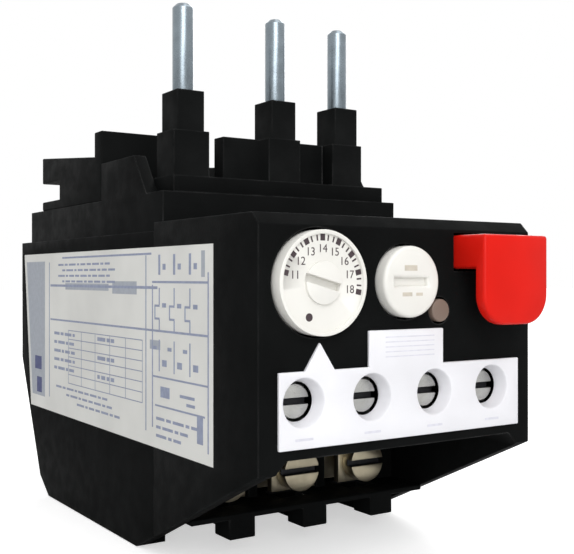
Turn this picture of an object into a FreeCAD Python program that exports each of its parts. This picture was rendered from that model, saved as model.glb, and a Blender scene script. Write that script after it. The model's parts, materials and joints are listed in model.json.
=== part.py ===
"""Thermal overload relay that plugs on the three lower terminals of a contactor.

Corner frame used in every expression, in millimetres: the first number runs to the right from
the left wall, the second runs back from the front face, the third runs up from the foot.
Each finished sub-part is then placed so that the relay stands centred on its own origin.
"""
import FreeCAD, Part

import math
import os
import re

import Sketcher

SIZES = {
    # overall
    "body_width": 45, "body_depth": 87, "body_height": 45.8, "wall": 2,
    # front housing
    "front_depth": 28, "front_height": 47, "front_foot": 16, "front_bevel": 1.4,
    "floor_level": 17.5, "floor_thickness": 2, "skirt_run": 34, "gusset": 2,
    # base housing
    "lean_head": 24, "lean_foot": 3, "lean_run": 10.5, "toe_run": 15, "deck_height": 51.6,
    "deck_inset": 1.4, "rib_foot_place": 33.6, "rib_head_place": 38, "rib_height": 6,
    "rib_width": 2, "label_sink": 0.2,
    # phases
    "phase_pitch": 12.4, "chamber_width": 10.8, "chamber_front": 31, "chamber_rear": 78,
    "chamber_floor": 17, "chamber_roof": 43.8, "bay_roof": 15, "bay_rear": 49,
    # line pins and their carrier, with their tops measured from the deck
    "pin_radius": 1.55, "pin_top": 27.9, "pin_place": 31.6, "pin_tip": 0.6,
    "pin_one": 6.4, "pin_two": 22.5, "pin_three": 34.5, "pin_fit": 0.05, "pin_shank": 2.1,
    "tower_width": 4.4, "tower_depth": 5.1, "tower_top": 14.9,
    "pedestal_width": 5.8, "pedestal_depth": 5.7, "pedestal_top": 9,
    "carrier_wall": 2.85, "carrier_bar": 2.4, "carrier_notch": 3.9, "carrier_place": 28.6,
    "carrier_depth": 7.4,
    # rear hook, with its levels measured from the deck
    "hook_place": 50.7, "hook_depth": 28.6, "hook_lug_width": 15.6, "hook_plate": 3,
    "hook_top": 11.4, "hook_shoulder": 7.4, "hook_back": 9.8, "hook_base": 1.6,
    "hook_slot": 9, "hook_slot_rise": 3.4,
    # heaters and bimetals
    "bimetal_place": 39, "bimetal_width": 6, "bimetal_thickness": 1, "bimetal_foot": 18,
    "bimetal_free": 0.3, "winding_turns": 6, "winding_pitch": 2.6, "winding_foot": 24,
    "winding_strip": 1.4, "winding_thickness": 0.7, "lead_thickness": 1, "lead_width": 3,
    "lead_lap": 0.5,
    # load terminals
    "screw_level": 10.2, "load_plate_place": 30, "load_tail_place": 46, "load_plate": 1.5,
    "load_plate_foot": 7,
    "load_plate_width": 8.4, "load_tail_width": 3.6, "load_tail_rise": 24,
    "load_screw_radius": 1.95, "load_head_radius": 3.1, "load_head": 2.4, "load_head_place": 24,
    "load_screw_length": 12, "load_clamp": 1.2, "load_clamp_width": 7.8, "load_clamp_height": 6.3,
    "load_slot": 0.9,
    "load_slot_depth": 1.1, "screw_fit": 0.05, "load_clamp_lip": 1.6,
    # comb below the load terminals
    "comb_place": 20.5, "comb_depth": 13.4, "comb_level": 5.5, "comb_thickness": 0.8,
    "tooth_width": 4.2, "tooth_depth": 4.4, "tooth_drop": 2.8, "wire_hole_place": 25.4,
    "wire_hole_width": 5.6, "wire_hole_depth": 5.4,
    # auxiliary terminals
    "aux_first": 6.15, "aux_pitch": 10.35, "aux_level": 24.3, "aux_plate_place": 5.2,
    "aux_plate": 1, "aux_plate_width": 6.4, "aux_plate_head": 28,
    "aux_tail_width": 2.8, "aux_closed_reach": 15.4, "aux_open_reach": 26.6, "contact_width": 1.8,
    "contact_height": 0.8, "contact_setback": 1, "aux_head_place": 1.6, "aux_head": 2,
    "aux_head_radius": 2.1, "aux_shank_radius": 1.45, "aux_shank_length": 7, "aux_slot": 0.8,
    "aux_slot_depth": 0.9, "washer_width": 5.6, "washer_thickness": 0.8, "aux_wire_width": 5.2,
    "aux_wire_place": 2.4, "aux_wire_depth": 4.8,
    # marking plate
    "marking_margin": 2.6, "marking_foot": 18.8, "marking_head": 28.05, "marking_thickness": 0.5,
    "marking_tab_place": 16, "marking_tab_width": 12.35, "marking_tab_head": 32.6,
    "pointer_width": 4.4, "pointer_head": 31.4, "collar_width": 6.6, "collar_depth": 1.5,
    "funnel_mouth": 3, "funnel_throat": 2.4, "collar_fit": 0.05,
    # rating label
    "label_place": 10.8, "label_foot": 15.4, "label_head": 43.5, "label_end": 85.5,
    "label_end_foot": 81.6,
    # control bracket
    "bracket_place": 10.5, "bracket_thickness": 1.5, "bracket_foot": 29.5, "stem_gap": 0.3,
    "control_gap": 0.3,
    # setting dial
    "dial_side": 8.5, "dial_level": 38.6, "dial_radius": 6.4, "dial_proud": 1.4, "dial_back": 1.6,
    "dial_stem_radius": 2.5, "dial_stem_end": 14, "dial_rim": 0.5, "dial_dish": 0.4,
    "dial_boss_radius": 2.6, "dial_slot": 1, "dial_slot_depth": 1.2, "cam_radius": 3.6,
    "cam_offset": 0.9, "cam_place": 6, "cam_thickness": 2.5, "clip_width": 7.2,
    "clip_thickness": 0.8, "clip_gap": 0.3,
    # reset knob and plunger
    "knob_side": 22.2, "knob_level": 38.7, "knob_radius": 4.6, "knob_proud": 1.5, "knob_back": 2.2,
    "knob_slot": 1, "knob_slot_depth": 0.9, "knob_slot_length": 5.5, "plunger_width": 3.1, "plunger_end": 17,
    "plunger_barb_width": 5, "barb_length": 1.5, "spigot_radius": 1.2, "spigot_length": 1.5,
    "spigot_fit": 0.05, "turn_gap": 0.1,
    # stop button
    "stop_side": 31, "stop_reach": 5.4, "stop_pad_width": 11.9, "stop_pad_foot": 33,
    "stop_pad": 1.9, "stop_top": 44.9, "stop_bar_width": 10, "stop_bar_height": 4.5,
    "stop_bar_end": 5, "stop_corner": 4, "stop_stem_width": 2.8, "stop_stem_level": 42.1,
    "stop_stem_end": 16, "stop_barb_width": 4.4,
    # trip indicator
    "flag_side": 28, "flag_level": 34.9, "flag_radius": 1.5, "flag_proud": 0.4, "flag_head": 4,
    "flag_stem_width": 1.6, "flag_stem_end": 15,
    # springs
    "spring_wire": 0.25, "spring_turns": 4, "spring_radius": 2.5, "spring_seat": 0.3,
    # trip mechanism
    "slider_level": 20, "slider_thickness": 2, "slider_depth": 8, "slider_margin": 1,
    "slider_length": 37.1, "slider_window": 0.4, "slider_travel": 1.4, "finger_place": 36.5,
    "finger_width": 3, "finger_reach": 24, "passage_gap": 0.3,
    "lever_side": 40.6, "lever_place": 17, "lever_hub_radius": 1.5, "lever_foot": 20.2,
    "lever_top": 35.5, "lever_arm_width": 1.2, "lever_arm_end": 26.5, "lever_arm_height": 2,
    "lever_finger_gap": 0.3, "release_arm_reach": 37.2, "release_arm_width": 2,
    "release_arm_height": 1.5, "pivot_radius": 0.8, "pivot_fit": 0.07, "lever_pin_top": 37,
    "rocker_place": 20, "rocker_level": 31.6, "rocker_radius": 1.9, "rocker_start": 4,
    "rocker_end": 38.4, "nib_side": 36.2, "nib_width": 2, "nib_depth": 2, "nib_top": 36, "nib_gap": 0.3,
    "rocker_arm_width": 3, "rocker_arm_top": 32.6, "rocker_reach": 6.8, "bridge_width": 2,
    "bridge_thickness": 0.4, "bridge_overhang": 0.9, "closed_gap": 0.3, "open_gap": 1.4,
}

WIDTH = "body_width"
MIDDLE = "body_width / 2"
SIDES = {"side": ("YZ_Plane", 1), "front": ("XZ_Plane", -1), "top": ("XY_Plane", 1)}
AXES = {
    "side": FreeCAD.Rotation(FreeCAD.Vector(0, 1, 0), 90),
    "front": FreeCAD.Rotation(FreeCAD.Vector(1, 0, 0), -90),
    "top": FreeCAD.Rotation(),
}

doc = FreeCAD.newDocument("overload_relay")
sheet = doc.addObject("Spreadsheet::Sheet", "dim")
finished = []


def fill_sheet():
    """Writes each size and its name into the spreadsheet."""
    for row, (name, size) in enumerate(SIZES.items(), start=1):
        sheet.set(f"A{row}", name)
        sheet.set(f"B{row}", str(size))
        sheet.setAlias(f"B{row}", name)
    doc.recompute()


def bound(text):
    """The expression with each size's name pointing into the spreadsheet."""
    return re.sub(r"[a-z]\w+", lambda m: "dim." + m.group() if m.group() in SIZES else m.group(), text)


def worth(text):
    """The present value of an expression."""
    return float(sheet.evalExpression(bound(text)))


def bind(thing, name, text):
    thing.setExpression(name, bound(text))


def move(thing, place):
    """Binds the three coordinates of an object's placement."""
    for axis, text in zip("xyz", place):
        bind(thing, f"Placement.Base.{axis}", text)


def finish(thing, label):
    """Names a sub-part and stands it centred on the relay's origin."""
    thing.Label = label
    bind(thing, "Placement.Base.x", f"-({MIDDLE})")
    bind(thing, "Placement.Base.y", "-(body_depth - stop_reach) / 2")
    finished.append(thing)
    return thing


# ---------------------------------------------------------------- primitives and booleans

def box(place, size):
    """A block from its low corner and its three lengths."""
    thing = doc.addObject("Part::Box", "block")
    move(thing, place)
    for name, text in zip(("Length", "Width", "Height"), size):
        bind(thing, name, text)
    return thing


def rod(view, place, radius, length):
    """A cylinder that starts at a point and runs right, back or up."""
    thing = doc.addObject("Part::Cylinder", "rod")
    thing.Placement.Rotation = AXES[view]
    move(thing, place)
    bind(thing, "Radius", radius)
    bind(thing, "Height", length)
    return thing


def cone(view, place, radius, far_radius, length):
    """A tapered rod."""
    thing = doc.addObject("Part::Cone", "taper")
    thing.Placement.Rotation = AXES[view]
    move(thing, place)
    bind(thing, "Radius1", radius)
    bind(thing, "Radius2", far_radius)
    bind(thing, "Height", length)
    return thing


def fuse(things):
    thing = doc.addObject("Part::MultiFuse", "fused")
    thing.Shapes = things
    thing.Refine = True
    return thing


def cut(base, tools):
    thing = doc.addObject("Part::Cut", "cut")
    thing.Base = base
    thing.Tool = tools[0] if len(tools) == 1 else fuse(tools)
    thing.Refine = True
    return thing


# ---------------------------------------------------------------- sketched bodies

def new_body():
    return doc.addObject("PartDesign::Body", "body")


def outline_sketch(body, view, start, loops):
    """A sketch at a distance along the view's axis. A loop is a list of corners, or one circle
    given as (across, up, radius)."""
    role, sign = SIDES[view]
    sketch = body.newObject("Sketcher::SketchObject", "sketch")
    plane = next(f for f in body.Origin.OriginFeatures if f.Role == role)
    sketch.AttachmentSupport = [(plane, "")]
    sketch.MapMode = "FlatFace"
    bind(sketch, "AttachmentOffset.Base.z", start if sign > 0 else f"-({start})")
    for loop in loops:
        if isinstance(loop, tuple):
            add_circle(sketch, *loop)
        else:
            add_polygon(sketch, loop)
    return sketch


def pin_point(sketch, geometry, end, across, up):
    """Holds one point of a sketch at two bound distances from the origin."""
    for kind, text in (("DistanceX", across), ("DistanceY", up)):
        index = sketch.addConstraint(Sketcher.Constraint(kind, -1, 1, geometry, end, worth(text)))
        bind(sketch, f"Constraints[{index}]", text)


def add_polygon(sketch, corners):
    spots = [FreeCAD.Vector(worth(a), worth(b), 0) for a, b in corners]
    first = sketch.GeometryCount
    count = len(spots)
    for n, spot in enumerate(spots):
        sketch.addGeometry(Part.LineSegment(spot, spots[(n + 1) % count]))
    for n in range(count):
        sketch.addConstraint(Sketcher.Constraint("Coincident", first + n, 2, first + (n + 1) % count, 1))
    for n, (across, up) in enumerate(corners):
        pin_point(sketch, first + n, 1, across, up)


def add_circle(sketch, across, up, radius):
    centre = FreeCAD.Vector(worth(across), worth(up), 0)
    circle = sketch.addGeometry(Part.Circle(centre, FreeCAD.Vector(0, 0, 1), worth(radius)))
    index = sketch.addConstraint(Sketcher.Constraint("Radius", circle, worth(radius)))
    bind(sketch, f"Constraints[{index}]", radius)
    pin_point(sketch, circle, 3, across, up)


def rectangle(across, up, width, height):
    """Corners of a rectangle from its low corner and its sides."""
    right = f"({across}) + ({width})"
    head = f"({up}) + ({height})"
    return [(across, up), (right, up), (right, head), (across, head)]


def pad(body, view, start, length, loops):
    """Adds material from a start plane towards the right, the back or the top."""
    sketch = outline_sketch(body, view, start, loops)
    feature = body.newObject("PartDesign::Pad", "pad")
    feature.Profile = sketch
    feature.Reversed = SIDES[view][1] < 0
    bind(feature, "Length", length)
    doc.recompute()
    return feature


def pocket(body, view, start, length, loops):
    """Removes material from a start plane towards the right, the back or the top."""
    before = body.Shape.Volume
    sketch = outline_sketch(body, view, start, loops)
    feature = body.newObject("PartDesign::Pocket", "pocket")
    feature.Profile = sketch
    feature.Reversed = SIDES[view][1] > 0
    bind(feature, "Length", length)
    doc.recompute()
    if body.Shape.Volume > before - 1e-6:
        raise RuntimeError(f"{body.Label}: a pocket removed nothing")
    return feature


def edges_where(shape, wanted):
    return [f"Edge{n}" for n, edge in enumerate(shape.Edges, start=1) if wanted(edge)]


def dress(body, kind, size, wanted):
    """Fillets or chamfers the edges of the body's tip that a test picks."""
    tip = body.Tip
    names = edges_where(body.Shape, wanted)
    if not names:
        raise RuntimeError(f"{body.Label}: no edge to dress")
    feature = body.newObject(f"PartDesign::{kind}", kind.lower())
    feature.Base = (tip, names)
    bind(feature, "Radius" if kind == "Fillet" else "Size", size)
    doc.recompute()
    return feature


def runs_along(edge, axis):
    """True for a straight edge parallel to one of the three axes."""
    if not isinstance(edge.Curve, Part.Line):
        return False
    return abs(getattr(edge.Curve.Direction, axis)) > 0.999


def near(value, text):
    return abs(value - worth(text)) < 1e-3


# ---------------------------------------------------------------- places that several pieces share

def phase(n):
    """Middle of phase chamber n, counted 0 to 2 from the left."""
    return f"({MIDDLE} + {n - 1} * phase_pitch)"


def aux(n):
    """Middle of auxiliary terminal n, counted 0 to 3 from the left."""
    return f"(aux_first + {n} * aux_pitch)"


COIL_STEPS = 12
PHASES = range(3)
AUX = range(4)
PIN_SIDES = ("pin_one", "pin_two", "pin_three")
SLOPE = "front_foot / skirt_run"
PARTING_FOOT = f"(front_foot - front_depth * {SLOPE})"
CAVITY_RIGHT = "(body_width - wall)"
CAVITY_WIDTH = "(body_width - 2 * wall)"
FLOOR_TOP = "(floor_level + floor_thickness)"
BACK = "body_depth"
RIB_TOP = "(deck_height + rib_height)"
TOWER_TOP = "(deck_height + tower_top)"
PIN_SHOULDER = "(deck_height + pin_top - pin_tip)"
LOAD_BACK = "(load_plate_place + load_plate)"
STOP_SIDE = "(stop_side + stop_bar_width / 2)"
BRACKET_BACK = "(bracket_place + bracket_thickness)"
BRIDGE_FOOT = "(aux_plate_head + contact_height)"


# ---------------------------------------------------------------- housings

def front_housing():
    """Moulded cover with the control cavity above its floor and the open terminal bay below."""
    body = new_body()
    profile = [
        ("0", "front_foot"), ("front_depth", PARTING_FOOT), ("front_depth", "front_height"),
        ("front_bevel", "front_height"), ("0", "front_height - front_bevel"),
    ]
    pad(body, "side", "0", WIDTH, [profile])
    cavity = rectangle("wall", FLOOR_TOP, CAVITY_WIDTH, f"front_height - wall - {FLOOR_TOP}")
    pocket(body, "front", "wall", "front_depth", [cavity])
    bay = [
        ("wall", "-1"), ("wall", "floor_level - gusset"), ("wall + gusset", "floor_level"),
        (f"{CAVITY_RIGHT} - gusset", "floor_level"), (CAVITY_RIGHT, "floor_level - gusset"),
        (CAVITY_RIGHT, "-1"),
    ]
    pocket(body, "front", "-1", "front_depth + 2", [bay])
    openings = [
        ("dial_side", "dial_level", "dial_radius + control_gap"),
        ("knob_side", "knob_level", "knob_radius + control_gap"),
        ("flag_side", "flag_level", "flag_radius + control_gap"),
        rectangle("stop_side - control_gap", "stop_top - stop_bar_height - control_gap",
                  "stop_bar_width + 2 * control_gap", "stop_bar_height + 2 * control_gap"),
    ]
    openings += [collar(n, "collar_fit") for n in AUX]
    pocket(body, "front", "-1", "wall + 2", openings)
    wire_slots = [
        rectangle(f"{aux(n)} - aux_wire_width / 2", "aux_wire_place", "aux_wire_width", "aux_wire_depth")
        for n in AUX
    ]
    pocket(body, "top", "floor_level - 1", "floor_thickness + 2", wire_slots)
    sink_label(body, "label_place", "front_depth + 1")
    return finish(body, "front_housing")


def sink_label(body, start, end):
    """Shallow recess for the rating label in the left side."""
    recess = [
        (start, "label_foot"), (end, "label_foot"), (end, "label_head"), (start, "label_head"),
    ]
    pocket(body, "side", "-1", "1 + label_sink", [recess])


def base_housing():
    """Main moulding behind the parting plane: three heater chambers, the load terminal bay and
    the raised deck that carries the pins and the hook."""
    body = new_body()
    profile = [
        ("front_depth", PARTING_FOOT), ("skirt_run", "0"), (f"{BACK} - toe_run", "0"),
        (f"{BACK} - lean_run", "lean_foot"), (BACK, "lean_head"), (BACK, "body_height"),
        ("front_depth", "body_height"),
    ]
    pad(body, "side", "0", WIDTH, [profile])
    deck = rectangle("deck_inset", "front_depth", "body_width - 2 * deck_inset",
                     f"{BACK} - deck_inset - front_depth")
    pad(body, "top", "body_height", "deck_height - body_height", [deck])
    rib = [
        ("rib_foot_place", "deck_height"), ("hook_place", "deck_height"), ("hook_place", RIB_TOP),
        ("rib_head_place", RIB_TOP),
    ]
    for side in ("deck_inset", "body_width - deck_inset - rib_width"):
        pad(body, "side", side, "rib_width", [rib])
    chambers = [
        rectangle(f"{phase(n)} - chamber_width / 2", "chamber_front", "chamber_width",
                  "chamber_rear - chamber_front")
        for n in PHASES
    ]
    pocket(body, "top", "chamber_floor", "chamber_roof - chamber_floor", chambers)
    bays = [
        rectangle(f"{phase(n)} - chamber_width / 2", "front_depth - 1", "chamber_width",
                  "bay_rear - front_depth + 1")
        for n in PHASES
    ]
    pocket(body, "top", "-1", "bay_roof + 1", bays)
    comb_seat = rectangle("wall", "front_depth - 1", CAVITY_WIDTH,
                          "comb_place + comb_depth - front_depth + 1")
    pocket(body, "top", "-1", "comb_level + comb_thickness + 1", [comb_seat])
    slider_passage(body)
    pin_holes = [pin_hole(side) for side in PIN_SIDES]
    pocket(body, "top", "chamber_roof - 1", "deck_height", pin_holes)
    tail_slots = [
        rectangle(f"{phase(n)} - load_tail_width / 2 - passage_gap", "load_tail_place - passage_gap",
                  "load_tail_width + 2 * passage_gap", "load_plate + 2 * passage_gap")
        for n in PHASES
    ]
    pocket(body, "top", "bay_roof - 1", "chamber_floor - bay_roof + 2", tail_slots)
    label_recess = [
        ("front_depth - 1", "label_foot"), ("label_end_foot", "label_foot"), ("label_end", "label_head"),
        ("front_depth - 1", "label_head"),
    ]
    pocket(body, "side", "-1", "1 + label_sink", [label_recess])
    return finish(body, "base_housing")


def pin_hole(side):
    """Square hole for the shank of a line pin."""
    half = "(pin_shank / 2 + pin_fit)"
    return rectangle(f"{side} - {half}", f"pin_place - {half}", f"2 * {half}", f"2 * {half}")


def slider_passage(body):
    """Cross passage through the chamber walls, and the window to the front, for the slider."""
    travel_room = "slider_travel + 2 * passage_gap"
    depth_start = "bimetal_place - slider_depth / 2 - passage_gap"
    low = "slider_level - passage_gap"
    height = "slider_thickness + 2 * passage_gap"
    passage = rectangle("wall", depth_start, CAVITY_WIDTH, "slider_depth + 2 * passage_gap")
    window = rectangle("finger_place - passage_gap", "front_depth - 1", f"finger_width + {travel_room}",
                       f"{depth_start} - front_depth + 2")
    pocket(body, "top", low, height, [passage])
    pocket(body, "top", low, height, [window])


def marking_plate():
    """White plate round the auxiliary screws, with a raised tab, the dial's pointer and four
    funnels that guide the screwdriver."""
    body = new_body()
    right = "body_width - marking_margin"
    pointer_left = "dial_side - pointer_width / 2"
    plate = [
        ("marking_margin", "marking_foot"), (right, "marking_foot"), (right, "marking_head"),
        ("marking_tab_place + marking_tab_width", "marking_head"),
        ("marking_tab_place + marking_tab_width", "marking_tab_head"),
        ("marking_tab_place", "marking_tab_head"), ("marking_tab_place", "marking_head"),
        (f"{pointer_left} + pointer_width", "marking_head"), ("dial_side", "pointer_head"),
        (pointer_left, "marking_head"), ("marking_margin", "marking_head"),
    ]
    pad(body, "front", "-marking_thickness", "marking_thickness", [plate])
    collars = [collar(n, "0") for n in AUX]
    pad(body, "front", "-marking_thickness", "marking_thickness + collar_depth", collars)
    funnels = [
        cone("front", (aux(n), "-marking_thickness", "aux_level"), "funnel_mouth", "funnel_throat",
             "marking_thickness + collar_depth")
        for n in AUX
    ]
    return finish(cut(body, funnels), "marking_plate")


def collar(n, margin):
    """Outline of the square collar round an auxiliary screw, or of its seat."""
    half = f"(collar_width / 2 + {margin})"
    return rectangle(f"{aux(n)} - {half}", f"aux_level - {half}", f"2 * {half}", f"2 * {half}")


def rating_label():
    """Thin plate in the recess of the left side, over both housings."""
    body = new_body()
    outline = [
        ("label_place", "label_foot"), ("label_end_foot", "label_foot"), ("label_end", "label_head"),
        ("label_place", "label_head"),
    ]
    pad(body, "side", "0", "label_sink", [outline])
    return finish(body, "rating_label")


def pin_carrier():
    """Insulating bar on the deck with a pedestal and a tower round each line pin, and a wall
    that joins the second and third pedestals."""
    body = new_body()
    margin = "(deck_inset + rib_width)"
    bar = rectangle(margin, "carrier_place", f"body_width - 2 * {margin}", "carrier_depth")
    pad(body, "top", "deck_height", "carrier_bar", [bar])
    for side in PIN_SIDES:
        pedestal = rectangle(f"{side} - pedestal_width / 2", "pin_place - pedestal_depth / 2",
                             "pedestal_width", "pedestal_depth")
        tower = rectangle(f"{side} - tower_width / 2", "pin_place - tower_depth / 2", "tower_width",
                          "tower_depth")
        pad(body, "top", "deck_height", "pedestal_top", [pedestal])
        pad(body, "top", "deck_height", "tower_top", [tower])
    wall_start = "pin_one + pedestal_width / 2 + carrier_notch"
    wall = rectangle(wall_start, "pin_place + pedestal_depth / 2 - carrier_wall",
                     f"pin_three - ({wall_start})", "carrier_wall")
    pad(body, "top", "deck_height", "pedestal_top", [wall])
    holes = [pin_hole(side) for side in PIN_SIDES]
    pocket(body, "top", "deck_height - 1", "tower_top + 2", holes)
    return finish(body, "pin_carrier")


def contactor_hook():
    """Two lugs at the back of the deck that catch under the contactor, on one foot plate."""
    body = new_body()
    left = "deck_inset"
    right = "body_width - deck_inset - hook_lug_width"
    profile = [
        ("hook_place", "deck_height"), ("hook_place", "deck_height + hook_top"),
        ("hook_place + hook_plate", "deck_height + hook_top"),
        ("hook_place + hook_plate", "deck_height + hook_shoulder"),
        ("hook_place + hook_depth", "deck_height + hook_back"),
        ("hook_place + hook_depth", "deck_height"),
    ]
    pad(body, "side", left, "hook_lug_width", [profile])
    pad(body, "side", right, "hook_lug_width", [profile])
    foot = rectangle(left, "hook_place", "body_width - 2 * deck_inset", "hook_depth")
    pad(body, "top", "deck_height", "hook_base", [foot])
    slot = rectangle("hook_place + hook_depth - hook_slot", "deck_height + hook_base",
                     "hook_slot + 1", "hook_slot_rise")
    pocket(body, "side", f"{left} - 1", "body_width", [slot])
    return finish(body, "contactor_hook")


def terminal_comb():
    """Shelf below the load terminals with a wire hole and a tooth for each phase."""
    body = new_body()
    shelf = rectangle("wall", "comb_place", CAVITY_WIDTH, "comb_depth")
    pad(body, "top", "comb_level", "comb_thickness", [shelf])
    for n in PHASES:
        tooth = rectangle(f"{phase(n)} - tooth_width / 2", "comb_place", "tooth_width", "tooth_depth")
        pad(body, "top", "comb_level - tooth_drop", "tooth_drop", [tooth])
    holes = [
        rectangle(f"{phase(n)} - wire_hole_width / 2", "wire_hole_place", "wire_hole_width",
                  "wire_hole_depth")
        for n in PHASES
    ]
    pocket(body, "top", "comb_level - 1", "comb_thickness + 2", holes)
    return finish(body, "terminal_comb")


# ---------------------------------------------------------------- current path

def line_pin(n):
    """Plated round pin with a tapered tip, on a square shank held in its tower and the deck."""
    side = PIN_SIDES[n]
    shank = box((f"{side} - pin_shank / 2", "pin_place - pin_shank / 2", "chamber_roof"),
                ("pin_shank", "pin_shank", f"{TOWER_TOP} - chamber_roof"))
    head = rod("top", (side, "pin_place", TOWER_TOP), "pin_radius", f"{PIN_SHOULDER} - {TOWER_TOP}")
    tip = cone("top", (side, "pin_place", PIN_SHOULDER), "pin_radius", "pin_radius - pin_tip",
               "pin_tip")
    return finish(fuse([shank, head, tip]), f"line_pin_{n + 1}")


def line_lead(n):
    """Copper strip under the chamber roof, from the pin's foot to the head of the bimetal."""
    side = PIN_SIDES[n]
    width = f"abs({phase(n)} - {side}) + lead_width"
    left = f"min({phase(n)}; {side}) - lead_width / 2"
    body = new_body()
    front = "(pin_place - lead_lap)"
    strip = rectangle(left, front, width, f"bimetal_place + bimetal_width / 2 - {front}")
    pad(body, "top", "chamber_roof - lead_thickness", "lead_thickness", [strip])
    return finish(body, f"line_lead_{n + 1}")


def bimetal_strip(n):
    """Upright strip, held at its head under the lead, whose foot leans right as it warms."""
    body = new_body()
    section = rectangle(f"{phase(n)} - bimetal_thickness / 2", "bimetal_place - bimetal_width / 2",
                        "bimetal_thickness", "bimetal_width")
    pad(body, "top", "bimetal_foot", "chamber_roof - lead_thickness - bimetal_free - bimetal_foot",
        [section])
    return finish(body, f"bimetal_strip_{n + 1}")


def heater_winding(n):
    """Flat resistance strip wound on the bimetal, one turn joined to the next at its corner."""
    body = new_body()
    inner = rectangle(f"{phase(n)} - bimetal_thickness / 2", "bimetal_place - bimetal_width / 2",
                      "bimetal_thickness", "bimetal_width")
    outer = rectangle(f"{phase(n)} - bimetal_thickness / 2 - winding_thickness",
                      "bimetal_place - bimetal_width / 2 - winding_thickness",
                      "bimetal_thickness + 2 * winding_thickness",
                      "bimetal_width + 2 * winding_thickness")
    turn = pad(body, "top", "winding_foot", "winding_strip", [outer, inner])
    link = rectangle(f"{phase(n)} + bimetal_thickness / 2",
                     "bimetal_place + bimetal_width / 2 - winding_strip",
                     "winding_thickness", "winding_strip")
    pattern = body.newObject("PartDesign::LinearPattern", "turns")
    pattern.Originals = [turn]
    up = next(f for f in body.Origin.OriginFeatures if f.Role == "Z_Axis")
    pattern.Direction = (up, [""])
    bind(pattern, "Length", "(winding_turns - 1) * winding_pitch")
    bind(pattern, "Occurrences", "winding_turns")
    body.Tip = pattern
    pad(body, "top", "winding_foot", "(winding_turns - 1) * winding_pitch + winding_strip", [link])
    return finish(body, f"heater_winding_{n + 1}")


def load_terminal(n):
    """Bent plate with the tapped hole for the load screw; its tail rises into the chamber."""
    body = new_body()
    under = "bay_roof - load_plate"
    tail_back = "load_tail_place + load_plate"
    profile = [
        ("load_plate_place", under), (tail_back, under), (tail_back, "load_tail_rise"),
        ("load_tail_place", "load_tail_rise"), ("load_tail_place", "bay_roof"),
        ("load_plate_place", "bay_roof"),
    ]
    face = [
        ("load_plate_place", "load_plate_foot"), (LOAD_BACK, "load_plate_foot"), (LOAD_BACK, "bay_roof"),
        ("load_plate_place", "bay_roof"),
    ]
    pad(body, "side", f"{phase(n)} - load_tail_width / 2", "load_tail_width", [profile])
    pad(body, "side", f"{phase(n)} - load_plate_width / 2", "load_plate_width", [face])
    hole = [(phase(n), "screw_level", "load_screw_radius + screw_fit")]
    pocket(body, "front", "load_plate_place - 1", "load_plate + 2", hole)
    return finish(body, f"load_terminal_{n + 1}")


def load_clamp(n):
    """Saddle under the screw head with a lip turned back over the wire."""
    body = new_body()
    place = "load_head_place + load_head"
    left = f"{phase(n)} - load_clamp_width / 2"
    plate = rectangle(left, "load_plate_foot", "load_clamp_width", "load_clamp_height")
    pad(body, "front", place, "load_clamp", [plate])
    lip = rectangle(left, "load_plate_foot + load_clamp_height - load_clamp", "load_clamp_width",
                    "load_clamp")
    pad(body, "front", place, "load_clamp_lip", [lip])
    hole = square(phase(n), "screw_level", "2 * (load_screw_radius + screw_fit)")
    pocket(body, "front", f"{place} - 1", "load_clamp_lip + 2", [hole])
    return finish(body, f"load_clamp_{n + 1}")


def slotted_screw(axis, place, head_radius, head, shank_radius, length, slot, slot_depth, label):
    """Cheese-head screw that points back, with one slot across its head."""
    side, level = axis
    top = rod("front", (side, place, level), head_radius, head)
    shank = rod("front", (side, place, level), shank_radius, f"{head} + {length}")
    groove = box((f"{side} - {head_radius}", place, f"{level} - {slot} / 2"),
                 (f"2 * {head_radius}", slot_depth, slot))
    return finish(cut(fuse([top, shank]), [groove]), label)


def load_screw(n):
    return slotted_screw((phase(n), "screw_level"), "load_head_place", "load_head_radius", "load_head",
                         "load_screw_radius", "load_screw_length", "load_slot", "load_slot_depth",
                         f"load_screw_{n + 1}")


# ---------------------------------------------------------------- auxiliary terminals

def aux_terminal(n):
    """Plate tapped for the screw, with a tail that ends in a fixed contact. The left pair
    reaches back to the normally open bridge, the right pair stops at the normally closed one."""
    body = new_body()
    reach = "aux_open_reach" if n < 2 else "aux_closed_reach"
    face = rectangle(f"{aux(n)} - aux_plate_width / 2", FLOOR_TOP, "aux_plate_width",
                     f"aux_plate_head - {FLOOR_TOP}")
    pad(body, "front", "aux_plate_place", "aux_plate", [face])
    tail = rectangle(f"{aux(n)} - aux_tail_width / 2", "aux_plate_place", "aux_tail_width",
                     f"{reach} - aux_plate_place")
    pad(body, "top", "aux_plate_head - aux_plate", "aux_plate", [tail])
    contact = rectangle(f"{aux(n)} - contact_width / 2", f"{reach} - contact_setback - contact_width / 2",
                        "contact_width", "contact_width")
    pad(body, "top", "aux_plate_head - aux_plate", "aux_plate + contact_height", [contact])
    hole = [(aux(n), "aux_level", "aux_shank_radius + screw_fit")]
    pocket(body, "front", "aux_plate_place - 1", "aux_plate + 2", hole)
    return finish(body, f"aux_terminal_{n + 1}")


def aux_washer(n):
    """Square pressure washer captive under the screw head."""
    place = "aux_head_place + aux_head"
    body = new_body()
    hole = square(aux(n), "aux_level", "2 * (aux_shank_radius + screw_fit)")
    pad(body, "front", place, "washer_thickness", [square(aux(n), "aux_level", "washer_width"), hole])
    return finish(body, f"aux_washer_{n + 1}")


def aux_screw(n):
    return slotted_screw((aux(n), "aux_level"), "aux_head_place", "aux_head_radius", "aux_head",
                         "aux_shank_radius", "aux_shank_length", "aux_slot", "aux_slot_depth",
                         f"aux_screw_{n + 1}")


# ---------------------------------------------------------------- controls

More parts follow.
